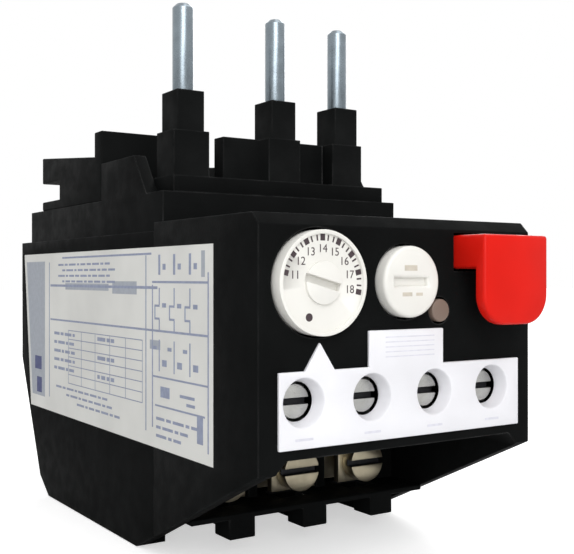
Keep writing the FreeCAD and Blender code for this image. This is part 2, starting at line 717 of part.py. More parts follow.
def control_bracket():
    """Upright wall inside the front housing that guides the four control stems."""
    body = new_body()
    wall = rectangle("wall", "bracket_foot", CAVITY_WIDTH, "front_height - wall - bracket_foot")
    pad(body, "front", "bracket_place", "bracket_thickness", [wall])
    guides = [
        ("dial_side", "dial_level", "dial_stem_radius + stem_gap"),
        square("knob_side", "knob_level", "plunger_width + 2 * stem_gap"),
        square(STOP_SIDE, "stop_stem_level", "stop_stem_width + 2 * stem_gap"),
        square("flag_side", "flag_level", "flag_stem_width + 2 * stem_gap"),
    ]
    pocket(body, "front", "bracket_place - 1", "bracket_thickness + 2", guides)
    return finish(body, "control_bracket")


def square(across, up, width):
    """Square outline centred on a point."""
    return rectangle(f"{across} - ({width}) / 2", f"{up} - ({width}) / 2", width, width)


def setting_dial():
    """Current dial: a shallow dished face with a slotted boss, turned about its own stem."""
    body = new_body()
    face = "-dial_proud"
    dish = f"{face} + dial_dish"
    half_profile = [
        ("dial_side", face), ("dial_side + dial_boss_radius", face),
        ("dial_side + dial_boss_radius", dish), ("dial_side + dial_radius - dial_rim", dish),
        ("dial_side + dial_radius - dial_rim", face), ("dial_side + dial_radius", face),
        ("dial_side + dial_radius", "dial_back"), ("dial_side + dial_stem_radius", "dial_back"),
        ("dial_side + dial_stem_radius", "dial_stem_end"), ("dial_side", "dial_stem_end"),
    ]
    turned(body, "top", "dial_level", half_profile)
    slot = rectangle("dial_side - dial_boss_radius", "dial_level - dial_slot / 2",
                     "2 * dial_boss_radius", "dial_slot")
    pocket(body, "front", f"{face} - 1", "1 + dial_slot_depth", [slot])
    return finish(body, "setting_dial")


def turned(body, view, start, half_profile):
    """Full revolution of half a profile about its first edge, which runs from the last corner
    to the first."""
    sketch = outline_sketch(body, view, start, [half_profile])
    feature = body.newObject("PartDesign::Revolution", "turned")
    feature.Profile = sketch
    feature.ReferenceAxis = (sketch, [f"Edge{len(half_profile)}"])
    feature.Angle = 360
    doc.recompute()
    return feature


def dial_cam():
    """Eccentric ring on the dial's stem that shifts the trip point."""
    disc = rod("front", ("dial_side + cam_offset", "cam_place", "dial_level"), "cam_radius",
               "cam_thickness")
    bore = rod("front", ("dial_side", "cam_place - 1", "dial_level"), "dial_stem_radius",
               "cam_thickness + 2")
    return finish(cut(disc, [bore]), "dial_cam")


def dial_clip():
    """Square clip behind the bracket that keeps the dial from pulling out."""
    place = f"{BRACKET_BACK} + clip_gap"
    body = new_body()
    pad(body, "front", place, "clip_thickness", [square("dial_side", "dial_level", "clip_width")])
    pocket(body, "front", f"{place} - 1", "clip_thickness + 2",
           [("dial_side", "dial_level", "dial_stem_radius")])
    return finish(body, "dial_clip")


def reset_knob():
    """Round knob that is pushed to reset and turned to choose hand or automatic reset."""
    body = new_body()
    disc = [("knob_side", "knob_level", "knob_radius")]
    pad(body, "front", "-knob_proud", "knob_proud + knob_back", disc)
    bore = [("knob_side", "knob_level", "spigot_radius + spigot_fit")]
    pocket(body, "front", "knob_back - spigot_length - turn_gap", "spigot_length + turn_gap + 1", bore)
    slot = rectangle("knob_side - knob_slot_length / 2", "knob_level - knob_slot / 2",
                     "knob_slot_length", "knob_slot")
    pocket(body, "front", "-knob_proud - 1", "1 + knob_slot_depth", [slot])
    return finish(body, "reset_knob")


def reset_plunger():
    """Square stem that the knob turns on, with a barb that stops it behind the bracket."""
    body = new_body()
    start = "knob_back + turn_gap"
    pad(body, "front", start, f"plunger_end - ({start})",
        [square("knob_side", "knob_level", "plunger_width")])
    pad(body, "front", "knob_back - spigot_length", "spigot_length + turn_gap",
        [("knob_side", "knob_level", "spigot_radius")])
    pad(body, "front", f"{BRACKET_BACK} + clip_gap", "barb_length",
        [square("knob_side", "knob_level", "plunger_barb_width")])
    return finish(body, "reset_plunger")


def coil_spring(side, level, start, end, label):
    """Compression spring round a stem, between two seats: a wire swept along a stepped helix."""
    margin = "(spring_wire + spring_seat)"
    steps = int(worth("spring_turns") * COIL_STEPS)
    length = worth(f"{end} - ({start}) - 2 * {margin}")
    radius = worth("spring_radius")
    path = doc.addObject("Part::Polygon", "coil_path")
    path.Nodes = [
        FreeCAD.Vector(radius * math.cos(i * 2 * math.pi / COIL_STEPS),
                       radius * math.sin(i * 2 * math.pi / COIL_STEPS), length * i / steps)
        for i in range(steps + 1)
    ]
    wire = doc.addObject("Part::RegularPolygon", "wire_section")
    wire.Polygon = 4
    bind(wire, "Circumradius", "spring_wire")
    wire.Placement.Rotation = AXES["front"]
    bind(wire, "Placement.Base.x", "spring_radius")
    doc.recompute()
    sweep = doc.addObject("Part::Sweep", "coil")
    sweep.Sections = [wire]
    sweep.Spine = (path, [f"Edge{i + 1}" for i in range(steps)])
    sweep.Solid = True
    sweep.Transition = "Right corner"
    sweep.Placement.Rotation = AXES["front"]
    sweep.Label = label
    bind(sweep, "Placement.Base.x", f"{side} - ({MIDDLE})")
    bind(sweep, "Placement.Base.y", f"{start} + {margin} - (body_depth - stop_reach) / 2")
    bind(sweep, "Placement.Base.z", level)
    finished.append(sweep)
    return sweep


def reset_spring():
    return coil_spring("knob_side", "knob_level", "knob_back + turn_gap", "bracket_place",
                       "reset_spring")


def stop_button():
    """Red button: a bar through the front wall with a rounded pad that hangs in front of it."""
    body = new_body()
    bar = rectangle("stop_side", "stop_top - stop_bar_height", "stop_bar_width", "stop_bar_height")
    pad(body, "front", "-stop_reach", "stop_reach + stop_bar_end", [bar])
    shield = rectangle("stop_side", "stop_pad_foot", "stop_pad_width", "stop_top - stop_pad_foot")
    pad(body, "front", "-stop_reach", "stop_pad", [shield])
    dress(body, "Fillet", "stop_corner",
          lambda e: runs_along(e, "y") and near(e.BoundBox.ZMax, "stop_pad_foot"))
    stem = square(STOP_SIDE, "stop_stem_level", "stop_stem_width")
    pad(body, "front", "stop_bar_end", "stop_stem_end - stop_bar_end", [stem])
    barb = square(STOP_SIDE, "stop_stem_level", "stop_barb_width")
    pad(body, "front", f"{BRACKET_BACK} + clip_gap", "barb_length", [barb])
    return finish(body, "stop_button")


def stop_spring():
    return coil_spring(STOP_SIDE, "stop_stem_level", "stop_bar_end", "bracket_place", "stop_spring")


def trip_indicator():
    """Small flag that shows at the front when the relay has tripped."""
    body = new_body()
    pad(body, "front", "-flag_proud", "flag_proud + flag_head",
        [("flag_side", "flag_level", "flag_radius")])
    pad(body, "front", "flag_head", "flag_stem_end - flag_head",
        [square("flag_side", "flag_level", "flag_stem_width")])
    return finish(body, "trip_indicator")


# ---------------------------------------------------------------- trip mechanism

def trip_slider():
    """Insulating bar across the chambers that the three bimetals push, with a finger that
    reaches forward to the trip lever."""
    body = new_body()
    bar_front = "(bimetal_place - slider_depth / 2)"
    bar = rectangle("wall + slider_margin", bar_front, "slider_length", "slider_depth")
    windows = [
        rectangle(f"{phase(n)} - bimetal_thickness / 2 - slider_window",
                  "bimetal_place - bimetal_width / 2 - slider_window",
                  "bimetal_thickness + 2 * slider_window", "bimetal_width + 2 * slider_window")
        for n in PHASES
    ]
    pad(body, "top", "slider_level", "slider_thickness", [bar] + windows)
    finger = rectangle("finger_place", "finger_reach", "finger_width", f"{bar_front} - finger_reach")
    pad(body, "top", "slider_level", "slider_thickness", [finger])
    return finish(body, "trip_slider")


def trip_lever():
    """Upright lever: the slider's finger turns its low arm, its high arm pushes the rocker."""
    body = new_body()
    pad(body, "top", "lever_foot", "lever_top - lever_foot",
        [("lever_side", "lever_place", "lever_hub_radius")])
    low_arm = rectangle("finger_place + finger_width + lever_finger_gap", "lever_place",
                        "lever_arm_width", "lever_arm_end - lever_place")
    pad(body, "top", "lever_foot", "lever_arm_height", [low_arm])
    high_arm = rectangle("release_arm_reach", "lever_place - release_arm_width / 2",
                         "lever_side - release_arm_reach", "release_arm_width")
    pad(body, "top", "lever_top - release_arm_height", "release_arm_height", [high_arm])
    pocket(body, "top", "lever_foot - 1", "lever_top - lever_foot + 2",
           [("lever_side", "lever_place", "pivot_radius + pivot_fit")])
    return finish(body, "trip_lever")


def lever_pivot():
    """Steel pin on the cavity floor that the lever turns on."""
    body = new_body()
    pad(body, "top", FLOOR_TOP, f"lever_pin_top - {FLOOR_TOP}",
        [("lever_side", "lever_place", "pivot_radius")])
    return finish(body, "lever_pivot")


def contact_rocker():
    """Insulating tube on a cross pin: its front arm carries the closed bridge, its rear arm the
    open one, and its nib stands behind the lever's high arm."""
    body = new_body()
    tube = [("rocker_place", "rocker_level", "rocker_radius")]
    pad(body, "side", "rocker_start", "rocker_end - rocker_start", tube)
    arms = [
        (bridge_middle(2), "rocker_place - rocker_reach", "closed_gap"),
        (bridge_middle(0), "rocker_place", "open_gap"),
    ]
    for middle, place, gap in arms:
        foot = f"({BRIDGE_FOOT} + {gap} + bridge_thickness)"
        arm = rectangle(f"{middle} - rocker_arm_width / 2", place, "rocker_arm_width", "rocker_reach")
        pad(body, "top", foot, f"rocker_arm_top - {foot}", [arm])
    nib = rectangle("nib_side", "lever_place + release_arm_width / 2 + nib_gap", "nib_width",
                    "nib_depth")
    pad(body, "top", "rocker_level", "nib_top - rocker_level", [nib])
    pocket(body, "side", "rocker_start - 1", "rocker_end - rocker_start + 2",
           [("rocker_place", "rocker_level", "pivot_radius + pivot_fit")])
    return finish(body, "contact_rocker")


def bridge_middle(n):
    return f"({aux(n)} + aux_pitch / 2)"


def contact_bridge(n, place, gap, label):
    """Silvered strip that joins two fixed contacts when it comes down on them."""
    body = new_body()
    strip = rectangle(f"{aux(n)} - bridge_overhang", f"{place} - bridge_width / 2",
                      "aux_pitch + 2 * bridge_overhang", "bridge_width")
    pad(body, "top", f"{BRIDGE_FOOT} + {gap}", "bridge_thickness", [strip])
    return finish(body, label)


def nc_bridge():
    return contact_bridge(2, "(aux_closed_reach - contact_setback)", "closed_gap", "nc_bridge")


def no_bridge():
    return contact_bridge(0, "(aux_open_reach - contact_setback)", "open_gap", "no_bridge")


def contact_pivot():
    """Steel pin from wall to wall that the rocker turns on."""
    body = new_body()
    pad(body, "side", "wall", CAVITY_WIDTH, [("rocker_place", "rocker_level", "pivot_radius")])
    return finish(body, "contact_pivot")


# ---------------------------------------------------------------- build

SINGLE = (
    front_housing, base_housing, marking_plate, rating_label, pin_carrier, contactor_hook,
    terminal_comb, control_bracket, setting_dial, dial_cam, dial_clip, reset_knob, reset_plunger,
    reset_spring, stop_button, stop_spring, trip_indicator, trip_slider, trip_lever, lever_pivot,
    contact_rocker, nc_bridge, no_bridge, contact_pivot,
)
PER_PHASE = (
    line_pin, line_lead, bimetal_strip, heater_winding, load_terminal, load_clamp, load_screw,
)
PER_AUX = (aux_terminal, aux_washer, aux_screw)


def build():
    fill_sheet()
    for make in SINGLE:
        make()
    for make in PER_PHASE:
        for n in PHASES:
            make(n)
    for make in PER_AUX:
        for n in AUX:
            make(n)
    doc.recompute()


def check():
    for thing in doc.Objects:
        if "Invalid" in thing.State or "Error" in thing.State:
            raise SystemExit(f"{thing.Label} ({thing.Name}) is not valid: {thing.State}")
    for thing in finished:
        if not thing.Shape.isValid() or len(thing.Shape.Solids) != 1:
            raise SystemExit(f"{thing.Label} is not one valid solid")


def export():
    os.makedirs("parts", exist_ok=True)
    for thing in finished:
        thing.Shape.exportStep(f"parts/{thing.Label}.step")
    print(len(finished), "sub-parts written")


build()
check()
export()
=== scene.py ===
"""Looks of the thermal overload relay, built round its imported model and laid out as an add-on.

One operator makes each group of pieces: the hidden parts, the black mouldings, the controls, the
marking plate, the label, the metal parts, the springs and the stage.
"""
import json
import math

import bmesh
import bpy
from bpy.props import FloatProperty, FloatVectorProperty, IntProperty, PointerProperty
from mathutils import Matrix, Vector


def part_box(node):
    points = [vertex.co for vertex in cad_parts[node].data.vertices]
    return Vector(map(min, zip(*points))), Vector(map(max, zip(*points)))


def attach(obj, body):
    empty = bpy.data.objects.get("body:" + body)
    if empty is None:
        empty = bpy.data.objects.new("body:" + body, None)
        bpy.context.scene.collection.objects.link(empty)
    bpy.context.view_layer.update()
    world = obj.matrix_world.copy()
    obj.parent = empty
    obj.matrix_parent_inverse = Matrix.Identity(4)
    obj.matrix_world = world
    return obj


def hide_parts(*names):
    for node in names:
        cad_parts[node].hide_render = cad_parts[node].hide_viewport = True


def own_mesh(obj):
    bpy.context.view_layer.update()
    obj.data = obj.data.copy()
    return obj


bl_info = {
    "name": "Overload Relay Looks",
    "version": (1, 0, 0),
    "blender": (4, 5, 0),
    "location": "View3D > Sidebar > Relay",
    "description": "Builds the visible pieces and finishes of a thermal overload relay",
    "category": "Object",
}

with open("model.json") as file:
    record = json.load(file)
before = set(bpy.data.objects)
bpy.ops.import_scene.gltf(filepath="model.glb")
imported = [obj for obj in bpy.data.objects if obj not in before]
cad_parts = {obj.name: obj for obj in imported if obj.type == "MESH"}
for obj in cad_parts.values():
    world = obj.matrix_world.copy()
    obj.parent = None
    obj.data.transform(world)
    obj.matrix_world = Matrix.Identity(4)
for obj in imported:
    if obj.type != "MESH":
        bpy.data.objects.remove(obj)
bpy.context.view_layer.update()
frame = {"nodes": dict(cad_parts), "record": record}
NODES = frame["nodes"]
BODY_OF = {
    node: body for body, nodes in frame["record"]["behaviour"]["bodies"].items() for node in nodes
}
SLOT_OF = {entry["node"]: entry["material_slot"] for entry in frame["record"]["subparts"]}
MM = 0.001
PHASES = (1, 2, 3)
AUX = (1, 2, 3, 4)
RIGHT = Vector((1.0, 0.0, 0.0))
FORWARD = Vector((0.0, -1.0, 0.0))
UP = Vector((0.0, 0.0, 1.0))

# ---------------------------------------------------------------- places and sizes

# Printed marks are given in millimetres: their middle, across and up, their width and their rise

# Dial: its face lies below its rim, and its scale runs anticlockwise from the right
DISH = 0.4 * MM
SCALE_START = math.radians(-12)
SCALE_SWEEP = math.radians(179)
SCALE_RESOLUTION = 96
NUMBERS = 8
LAST_NUMBER = 18
NUMBER_INSET = 2.3 * MM
NUMBER_SIZE = 1.4 * MM
TICK_INSET = 0.95 * MM
TICK_SIZE = (0.2 * MM, 0.7 * MM)
SQUARE_INSET = 0.85 * MM
SQUARE_SIZE = (0.68 * MM, 0.95 * MM)
SQUARE_LIFT = 1.2
SPOT_PLACE = Vector((-2.0 * MM, 0.0, -4.1 * MM))
SPOT_RADIUS = 0.5 * MM
SPOT_SIDES = 24

# Knob, indicator and marking plate, whose edges are multiples of the fine edge
KNOB_EDGES = 6
FLAG_EDGES = 3
PLATE_EDGES = 1.5
KNOB_DASHES = ((-0.3, 1.75, 2.1, 0.7), (-0.9, -1.6, 1.6, 0.5), (1.1, -1.6, 1.1, 0.4))
TAB_MIDDLE = 0.15 * MM
TAB_DROP = 0.9 * MM
TAB_RULES = 5
TAB_RULE_STEP = 0.62 * MM
TAB_RULE_SIZE = (8.2 * MM, 0.14 * MM)
PLATE_TICK = (0.0, -4.35, 2.6, 0.3)

# Screws: the part of a head that its slot takes up, which is darkened with painted shade
SLOT_HALF = 0.47 * MM
SLOT_FRONT = 0.08 * MM
SLOT_REACH = 1.3 * MM

# Label: its marks are placed by their y and z in the relay's own frame. Each is a step thicker
# than the last, so that where two cross, their faces don't meet
PRINT_STEP = 0.0001 * MM
LABEL_EDGE = 0.03 * MM
LABEL_FOOT = 0.1 * MM
# The rear panel is a printed tint that is also painted shade on the label's rear end
REAR_PANEL_FRONT = 33.0 * MM
REAR_PANEL_MARGIN = 1.2 * MM
REAR_PANEL_LEVELS = (17.6 * MM, 42.1 * MM)
TINTED_MARKS = ((-2.5, 37.7, 9.0, 1.9), (13.0, 37.7, 19.0, 1.1), (-13.2, 29.8, 3.4, 1.3),
                (-27.4, 41.0, 1.0, 3.4))
NAVY_MARKS = ((36.6, 23.6, 3.6, 2.4), (36.0, 19.6, 2.6, 2.8))
TABLE_TOP = (6.0 * MM, 30.2 * MM)
TABLE_ROW_STEP = 1.5 * MM
TABLE_ROW_SIZE = (30.0 * MM, 0.14 * MM)
TABLE_SIDE = (21.0 * MM, 25.7 * MM)
TABLE_COLUMNS = 6
TABLE_COLUMN_STEP = 6.0 * MM
TABLE_COLUMN_SIZE = (0.14 * MM, 9.0 * MM)
LABEL_RULES = ((8.0, 37.8, 44.0, 0.4), (8.0, 31.8, 44.0, 0.3), (6.0, 42.6, 36.0, 0.3),
               (-10.2, 29.9, 0.3, 25.0), (30.6, 29.9, 0.3, 24.0))
WORD_LENGTHS = (2.6, 1.4, 3.2, 1.0, 2.2, 1.8, 2.8, 1.2, 2.0)
FIGURE_LENGTHS = (1.0, 1.6, 1.0, 1.3)
WORD_GAP = 0.6

# Blocks of print: the rear end of a line, the first line's level, the step down and the rise
HEADING = (26.0, 41.4, 0.95, 0.34)
HEADING_INDENT = 2.0
HEADING_LINES = 4
CELLS = (28.0, 29.45, 1.5, 0.5)
CELL_LINES = 5
CELL_WORDS = 4
FIGURES = (8.0, 29.45, 3.0, 0.6)
FOOTNOTES = (27.0, 20.2, 1.1, 0.36)
FOOTNOTE_INDENT = 5.0
FOOTNOTE_LINES = 3
CAPTION = (-13.6, 19.6, 1.2, 0.4)
CAPTION_LINES = 3
CAPTION_WORDS = 5

# Diagram: one pole's symbols, set against the first pole's line, and the frame round them
POLES = 3
FIRST_POLE = -14.6
POLE_PITCH = 4.6
POLE_MARKS = (
    (0.0, 41.0, 0.6, 2.8), (0.0, 36.6, 0.3, 2.4), (0.7, 35.3, 1.6, 0.3), (1.4, 34.4, 0.3, 1.8),
    (0.7, 33.5, 1.6, 0.3), (0.0, 32.6, 0.3, 1.6), (0.0, 28.4, 0.3, 4.4), (-1.6, 27.4, 1.4, 0.9),
    (-1.5, 40.7, 0.9, 0.8), (-1.5, 35.4, 1.2, 0.6), (1.4, 29.4, 1.2, 0.5))
DIAGRAM_FRAME = (
    (-20.6, 38.6, 16.6, 0.3), (-20.6, 31.8, 16.6, 0.3), (-20.6, 25.4, 16.6, 0.25),
    (-20.6, 21.4, 14.6, 0.25), (-12.4, 28.2, 0.3, 20.0), (-28.8, 28.4, 0.3, 23.0),
    (-16.4, 23.4, 2.8, 1.5), (-23.0, 23.4, 4.2, 0.4), (-24.0, 22.4, 2.4, 0.4),
    (-26.6, 19.6, 1.6, 3.6))

# Shapes: what counts as one point, one flat face, an edge to round and a corner to keep sharp
WELD = 0.001 * MM
FINE_WELD = 0.0001 * MM
FLAT_ANGLE = math.radians(0.6)
EDGE_ANGLE = math.radians(28)
CORNER_ANGLE = math.radians(32)
ROUND_STEPS = 3

# Finishes: the sizes of their patches, the depths of their relief, how much finer their drawn
# lines are along each axis, and the colours of small parts
CLOUD = 9 * MM
# Lighter edges, their patches and reach: partly wear and partly a painted highlight
WEAR_HIGHLIGHT_PATCH = 3 * MM
WEAR_HIGHLIGHT_REACH = 0.35 * MM
EDGE_SAMPLES = 6
EDGE_MATCH = (0.75, 0.98)
SATIN_PATCH = 2.5 * MM
SATIN_SPREAD = 0.06
STAIN = 2.2 * MM
SMUDGE = 14 * MM
FILM_PATCH = 5 * MM
FILM_GRAIN = 0.5 * MM
FILM_DEPTH = 0.006 * MM
FILM_ROUGHNESS = (0.34, 0.46)
FILM_GLOSS = 0.35
INK_WEAR = 0.8 * MM
INK_PATCH = 0.6 * MM
INK_ROUGHNESS = (0.5, 0.62)
INK_GLOSS = 0.3
LINE_DEPTH = 0.012 * MM
LINE_SMOOTHER = 0.05
LINE_ROUGHER = 0.08
TURNED_WIDTH = 0.4 * MM
TURNED_LINES = (4.0, 1.0, 4.0)
PIN_LINES = (1.0, 1.0, 6.0)
HEATER_LINES = (1.0, 1.0, 8.0)
UPRIGHT_STRIP = (6.0, 6.0, 1.0)
LYING_STRIP = (1.0, 6.0, 6.0)
WIRE_LINES = (5.0, 5.0, 5.0)
INNER_GREY = (0.05, 0.05, 0.052)
COPPER = (0.72, 0.36, 0.22)
BIMETAL = (0.55, 0.52, 0.47)
HEATER_ALLOY = (0.42, 0.38, 0.34)
SPRING_STEEL = (0.5, 0.5, 0.52)
LOAD_PLATING = (0.46, 0.41, 0.3)
# Painted shade for the floors and walls of the screws' slots
SLOT_SHADE = (0.012, 0.012, 0.014)
# Blue-grey tint: print, and on the rear panel also painted shade
LABEL_TINT_AND_SHADE = (0.35, 0.375, 0.42)
NAVY = (0.06, 0.07, 0.17)
FAINT_GREY = (0.6, 0.6, 0.66)
DASH_BEIGE = (0.5, 0.46, 0.39)

# Stage: lamps are given by their name, place, size and power
CAMERA_PLACE = Vector((-0.07943, -0.1336, 0.0393))
CAMERA_LINE = Vector((0.549, 0.836, 0.0))
CAMERA_LENS = 59.0
CAMERA_SENSOR = 36.0
CAMERA_NEAREST = 0.01
LAMP_AIM = Vector((0.0, 0.0, 0.035))
LAMPS = (
    ("key_lamp", (-0.16, -0.4, 0.3), (0.3, 0.3), 1.35),
    ("low_lamp", (-0.3, -0.46, 0.07), (0.32, 0.2), 0.8),
    ("top_lamp", (0.2, -0.1, 0.55), (0.4, 0.4), 1.0),
    ("rear_lamp", (0.34, 0.42, 0.26), (0.35, 0.35), 1.6),
)
WORLD_LEVEL = 0.42
FLOOR_REACH = 2.5
FLOOR_LEVEL = -0.1 * MM
FLOOR_TONES = (0.78, 0.8)
FLOOR_BLOTCH = 0.12
FLOOR_ROUGHNESS = 0.8
FLOOR_GLOSS = 0.1
FLOOR_LIFT = 0.55
FLOOR_NEAR = 0.12
FLOOR_FAR = 0.6


# ---------------------------------------------------------------- settings

class ReliefSettings(bpy.types.PropertyGroup):
    """Sizes of the edges, prints and marks"""
    housing_edge: FloatProperty(
        name="Housing edge", description="Round on the edges of the black mouldings",
        default=0.22 * MM, min=0.0, unit="LENGTH")
    button_edge: FloatProperty(
        name="Button edge", description="Round on the edges of the stop button",
        default=0.45 * MM, min=0.0, unit="LENGTH")
    fine_edge: FloatProperty(
        name="Fine edge", description="Round on the edges of small parts",
        default=0.1 * MM, min=0.0, unit="LENGTH")
    print_height: FloatProperty(
        name="Print height", description="Thickness of printed marks above their surface",
        default=0.02 * MM, min=0.0, unit="LENGTH")
    dial_turn: FloatProperty(
        name="Dial turn", description="How far the dial's slot is turned from level",
        default=math.radians(15), subtype="ANGLE")
    dial_ticks: IntProperty(
        name="Dial ticks", description="Number of ticks round the dial's rim", default=22, min=2)
    table_rows: IntProperty(
        name="Table rows", description="Number of ruled lines across the label's table",
        default=7, min=2)


class FinishSettings(bpy.types.PropertyGroup):
    """Colours of the finishes"""
    housing: FloatVectorProperty(
        name="Housing", description="Black moulded plastic", subtype="COLOR",
        default=(0.0046, 0.005, 0.005), min=0.0, max=1.0)
    plate: FloatVectorProperty(
        name="Marking plate", description="White moulded plastic of the plate", subtype="COLOR",
        default=(0.74, 0.74, 0.77), min=0.0, max=1.0)
    control: FloatVectorProperty(
        name="Dial and knob", description="White moulded plastic of the controls", subtype="COLOR",
        default=(0.72, 0.71, 0.67), min=0.0, max=1.0)
    stop: FloatVectorProperty(
        name="Stop button", description="Red plastic of the stop button", subtype="COLOR",
        default=(0.62, 0.01, 0.005), min=0.0, max=1.0)
    flag: FloatVectorProperty(
        name="Trip indicator", description="Plastic of the trip indicator", subtype="COLOR",
        default=(0.17, 0.125, 0.1), min=0.0, max=1.0)
    label: FloatVectorProperty(
        name="Label", description="Film of the rating label", subtype="COLOR",
        default=(0.69, 0.69, 0.66), min=0.0, max=1.0)
    label_ink: FloatVectorProperty(
        name="Label ink", description="Ink of the label's lines", subtype="COLOR",
        default=(0.25, 0.28, 0.38), min=0.0, max=1.0)
    dark_ink: FloatVectorProperty(
        name="Dark ink", description="Ink of the marks on the controls", subtype="COLOR",
        default=(0.05, 0.035, 0.04), min=0.0, max=1.0)
    pin: FloatVectorProperty(
        name="Line pins", description="Plating of the line pins", subtype="COLOR",
        default=(0.23, 0.27, 0.3), min=0.0, max=1.0)
    zinc: FloatVectorProperty(
        name="Screws", description="Plating of screws and clamps", subtype="COLOR",
        default=(0.5, 0.5, 0.48), min=0.0, max=1.0)
    tin: FloatVectorProperty(
        name="Terminals", description="Plating of the terminal plates", subtype="COLOR",
        default=(0.4, 0.36, 0.27), min=0.0, max=1.0)


def relief():
    """The sizes as they are set in the panel"""
    return bpy.context.scene.relay_relief


def finish_colours():
    """The colours as they are set in the panel"""
    return bpy.context.scene.relay_finish


# ---------------------------------------------------------------- finishes

def feed(tree, socket, value):
    """Sets a node's input to a value or to another node's output"""
    if isinstance(value, bpy.types.NodeSocket):
        tree.links.new(value, socket)
    else:
        socket.default_value = value


def new_node(tree, kind, inputs=None, **settings):
    """A new node with its settings and then its inputs, by their names or places"""
    node = tree.nodes.new(kind)
    for key, value in settings.items():
        setattr(node, key, value)
    for key, value in (inputs or {}).items():
        feed(tree, node.inputs[key], value)
    return node


class Finish:
    """A material whose pattern lies in object coordinates"""

    def __init__(self, name):
        self.material = bpy.data.materials.new(name)
        self.material.use_nodes = True
        self.tree = self.material.node_tree
        self.tree.nodes.clear()
        self.surface = self.add("ShaderNodeBsdfPrincipled")
        output = self.add("ShaderNodeOutputMaterial")
        self.tree.links.new(self.surface.outputs["BSDF"], output.inputs["Surface"])
        self.place = self.add("ShaderNodeTexCoord").outputs["Object"]

    def add(self, kind, inputs=None, **settings):
        """A new node of this finish"""
        return new_node(self.tree, kind, inputs, **settings)

    def noise(self, size, stretch=(1.0, 1.0, 1.0), detail=2.0):
        """Soft noise whose blotches are about this large, in metres"""
        mapping = self.add("ShaderNodeMapping", {"Vector": self.place, "Scale": stretch})
        noise = self.add("ShaderNodeTexNoise", {
            "Vector": mapping.outputs["Vector"], "Scale": 1.0 / size, "Detail": detail})
        return noise.outputs["Fac"]

    def between(self, factor, low, high, start=0.35, end=0.65):
        """A value that runs from low to high as the factor runs from start to end"""
        return self.add("ShaderNodeMapRange", {
            "Value": factor, "From Min": start, "From Max": end, "To Min": low, "To Max": high,
        }).outputs["Result"]

    def blend(self, factor, first, second):
        """A colour between two others, by the colour sockets of a mix"""
        mix = self.add("ShaderNodeMix", {0: factor, 6: first, 7: second}, data_type="RGBA")
        return mix.outputs[2]

    def set(self, socket, value):
        """Sets an input of the surface to a value or to another node's output"""
        feed(self.tree, self.surface.inputs[socket], value)

    def bumps(self, height, depth, strength=1.0):
        """Relief of the surface, its depth in metres"""
        bump = self.add("ShaderNodeBump", {
            "Height": height, "Distance": depth, "Strength": strength})
        self.set("Normal", bump.outputs["Normal"])

    def edge(self, reach):
        """1 on the edges of a piece and 0 on its flats"""
        rounded = self.add("ShaderNodeBevel", {"Radius": reach}, samples=EDGE_SAMPLES)
        flat = self.add("ShaderNodeNewGeometry")
        match = self.add("ShaderNodeVectorMath", {
            0: rounded.outputs["Normal"], 1: flat.outputs["Normal"]}, operation="DOT_PRODUCT")
        return self.between(match.outputs["Value"], 1.0, 0.0, *EDGE_MATCH)


def shade(colour, share=1.0):
    """A colour made lighter or darker by this share"""
    return tuple(min(1.0, part * share) for part in colour[:3]) + (1.0,)


def moulded(name, colour, roughness, grain=0.3 * MM, depth=0.01 * MM, mottle=0.1, wear_and_highlight=0.0,
            gloss=0.5, index=1.45):
    """Moulded plastic: spark-eroded grain, slight mottling, and edges lighter from wear and a
    painted highlight
    """
    made = Finish(name)
    cloud = made.noise(CLOUD)
    tone = made.blend(made.between(cloud, 0.0, 1.0), shade(colour, 1 - mottle),
                      shade(colour, 1 + mottle))
    # Edges lighter in patches: partly rubbed wear, partly a painted highlight
    if wear_and_highlight:
        rubbed_and_lit = tuple(part + wear_and_highlight for part in colour[:3]) + (1.0,)
        patches = made.between(made.noise(WEAR_HIGHLIGHT_PATCH, detail=3.0), 0.15, 1.0)
        rub = made.add("ShaderNodeMath", {0: made.edge(WEAR_HIGHLIGHT_REACH), 1: patches},
                       operation="MULTIPLY")
        tone = made.blend(rub.outputs["Value"], tone, rubbed_and_lit)
    made.set("Base Color", tone)
    made.set("Roughness", made.between(made.noise(SATIN_PATCH), roughness - SATIN_SPREAD,
                                       roughness + SATIN_SPREAD))
    made.set("Specular IOR Level", gloss)
    made.set("IOR", index)
    made.bumps(made.noise(grain), depth)
    return made.material


def plated(name, colour, roughness, stretch, lines=0.25 * MM, tarnish=0.12):
    """Plated metal with fine drawn or turned lines and slight tarnish"""
    made = Finish(name)
    stain = made.between(made.noise(STAIN, detail=3.0), 0.0, 1.0)
    made.set("Base Color", made.blend(stain, shade(colour, 1 - tarnish), shade(colour, 1.04)))
    made.set("Metallic", 1.0)
    drawn = made.noise(lines, stretch)
    made.set("Roughness", made.between(drawn, roughness - LINE_SMOOTHER,
                                       roughness + LINE_ROUGHER))
    made.bumps(drawn, LINE_DEPTH, 0.5)
    return made.material


def film(name, colour):
    """Printed film with faint smudges and a satin coat"""
    made = Finish(name)
    smudge = made.between(made.noise(SMUDGE, detail=3.0), 0.0, 1.0)
    made.set("Base Color", made.blend(smudge, shade(colour, 0.93), shade(colour, 1.05)))
    made.set("Roughness", made.between(made.noise(FILM_PATCH), *FILM_ROUGHNESS))
    made.set("Specular IOR Level", FILM_GLOSS)
    made.bumps(made.noise(FILM_GRAIN, detail=4.0), FILM_DEPTH)
    return made.material


def ink(name, colour, rub=0.18):
    """Printed ink, thinner in places; also used for flat fields of painted shade"""
    made = Finish(name)
    wear = made.between(made.noise(INK_WEAR, detail=3.0), 0.0, 1.0)
    made.set("Base Color", made.blend(wear, shade(colour), shade(colour, 1 + rub)))
    made.set("Roughness", made.between(made.noise(INK_PATCH), *INK_ROUGHNESS))
    made.set("Specular IOR Level", INK_GLOSS)
    return made.material


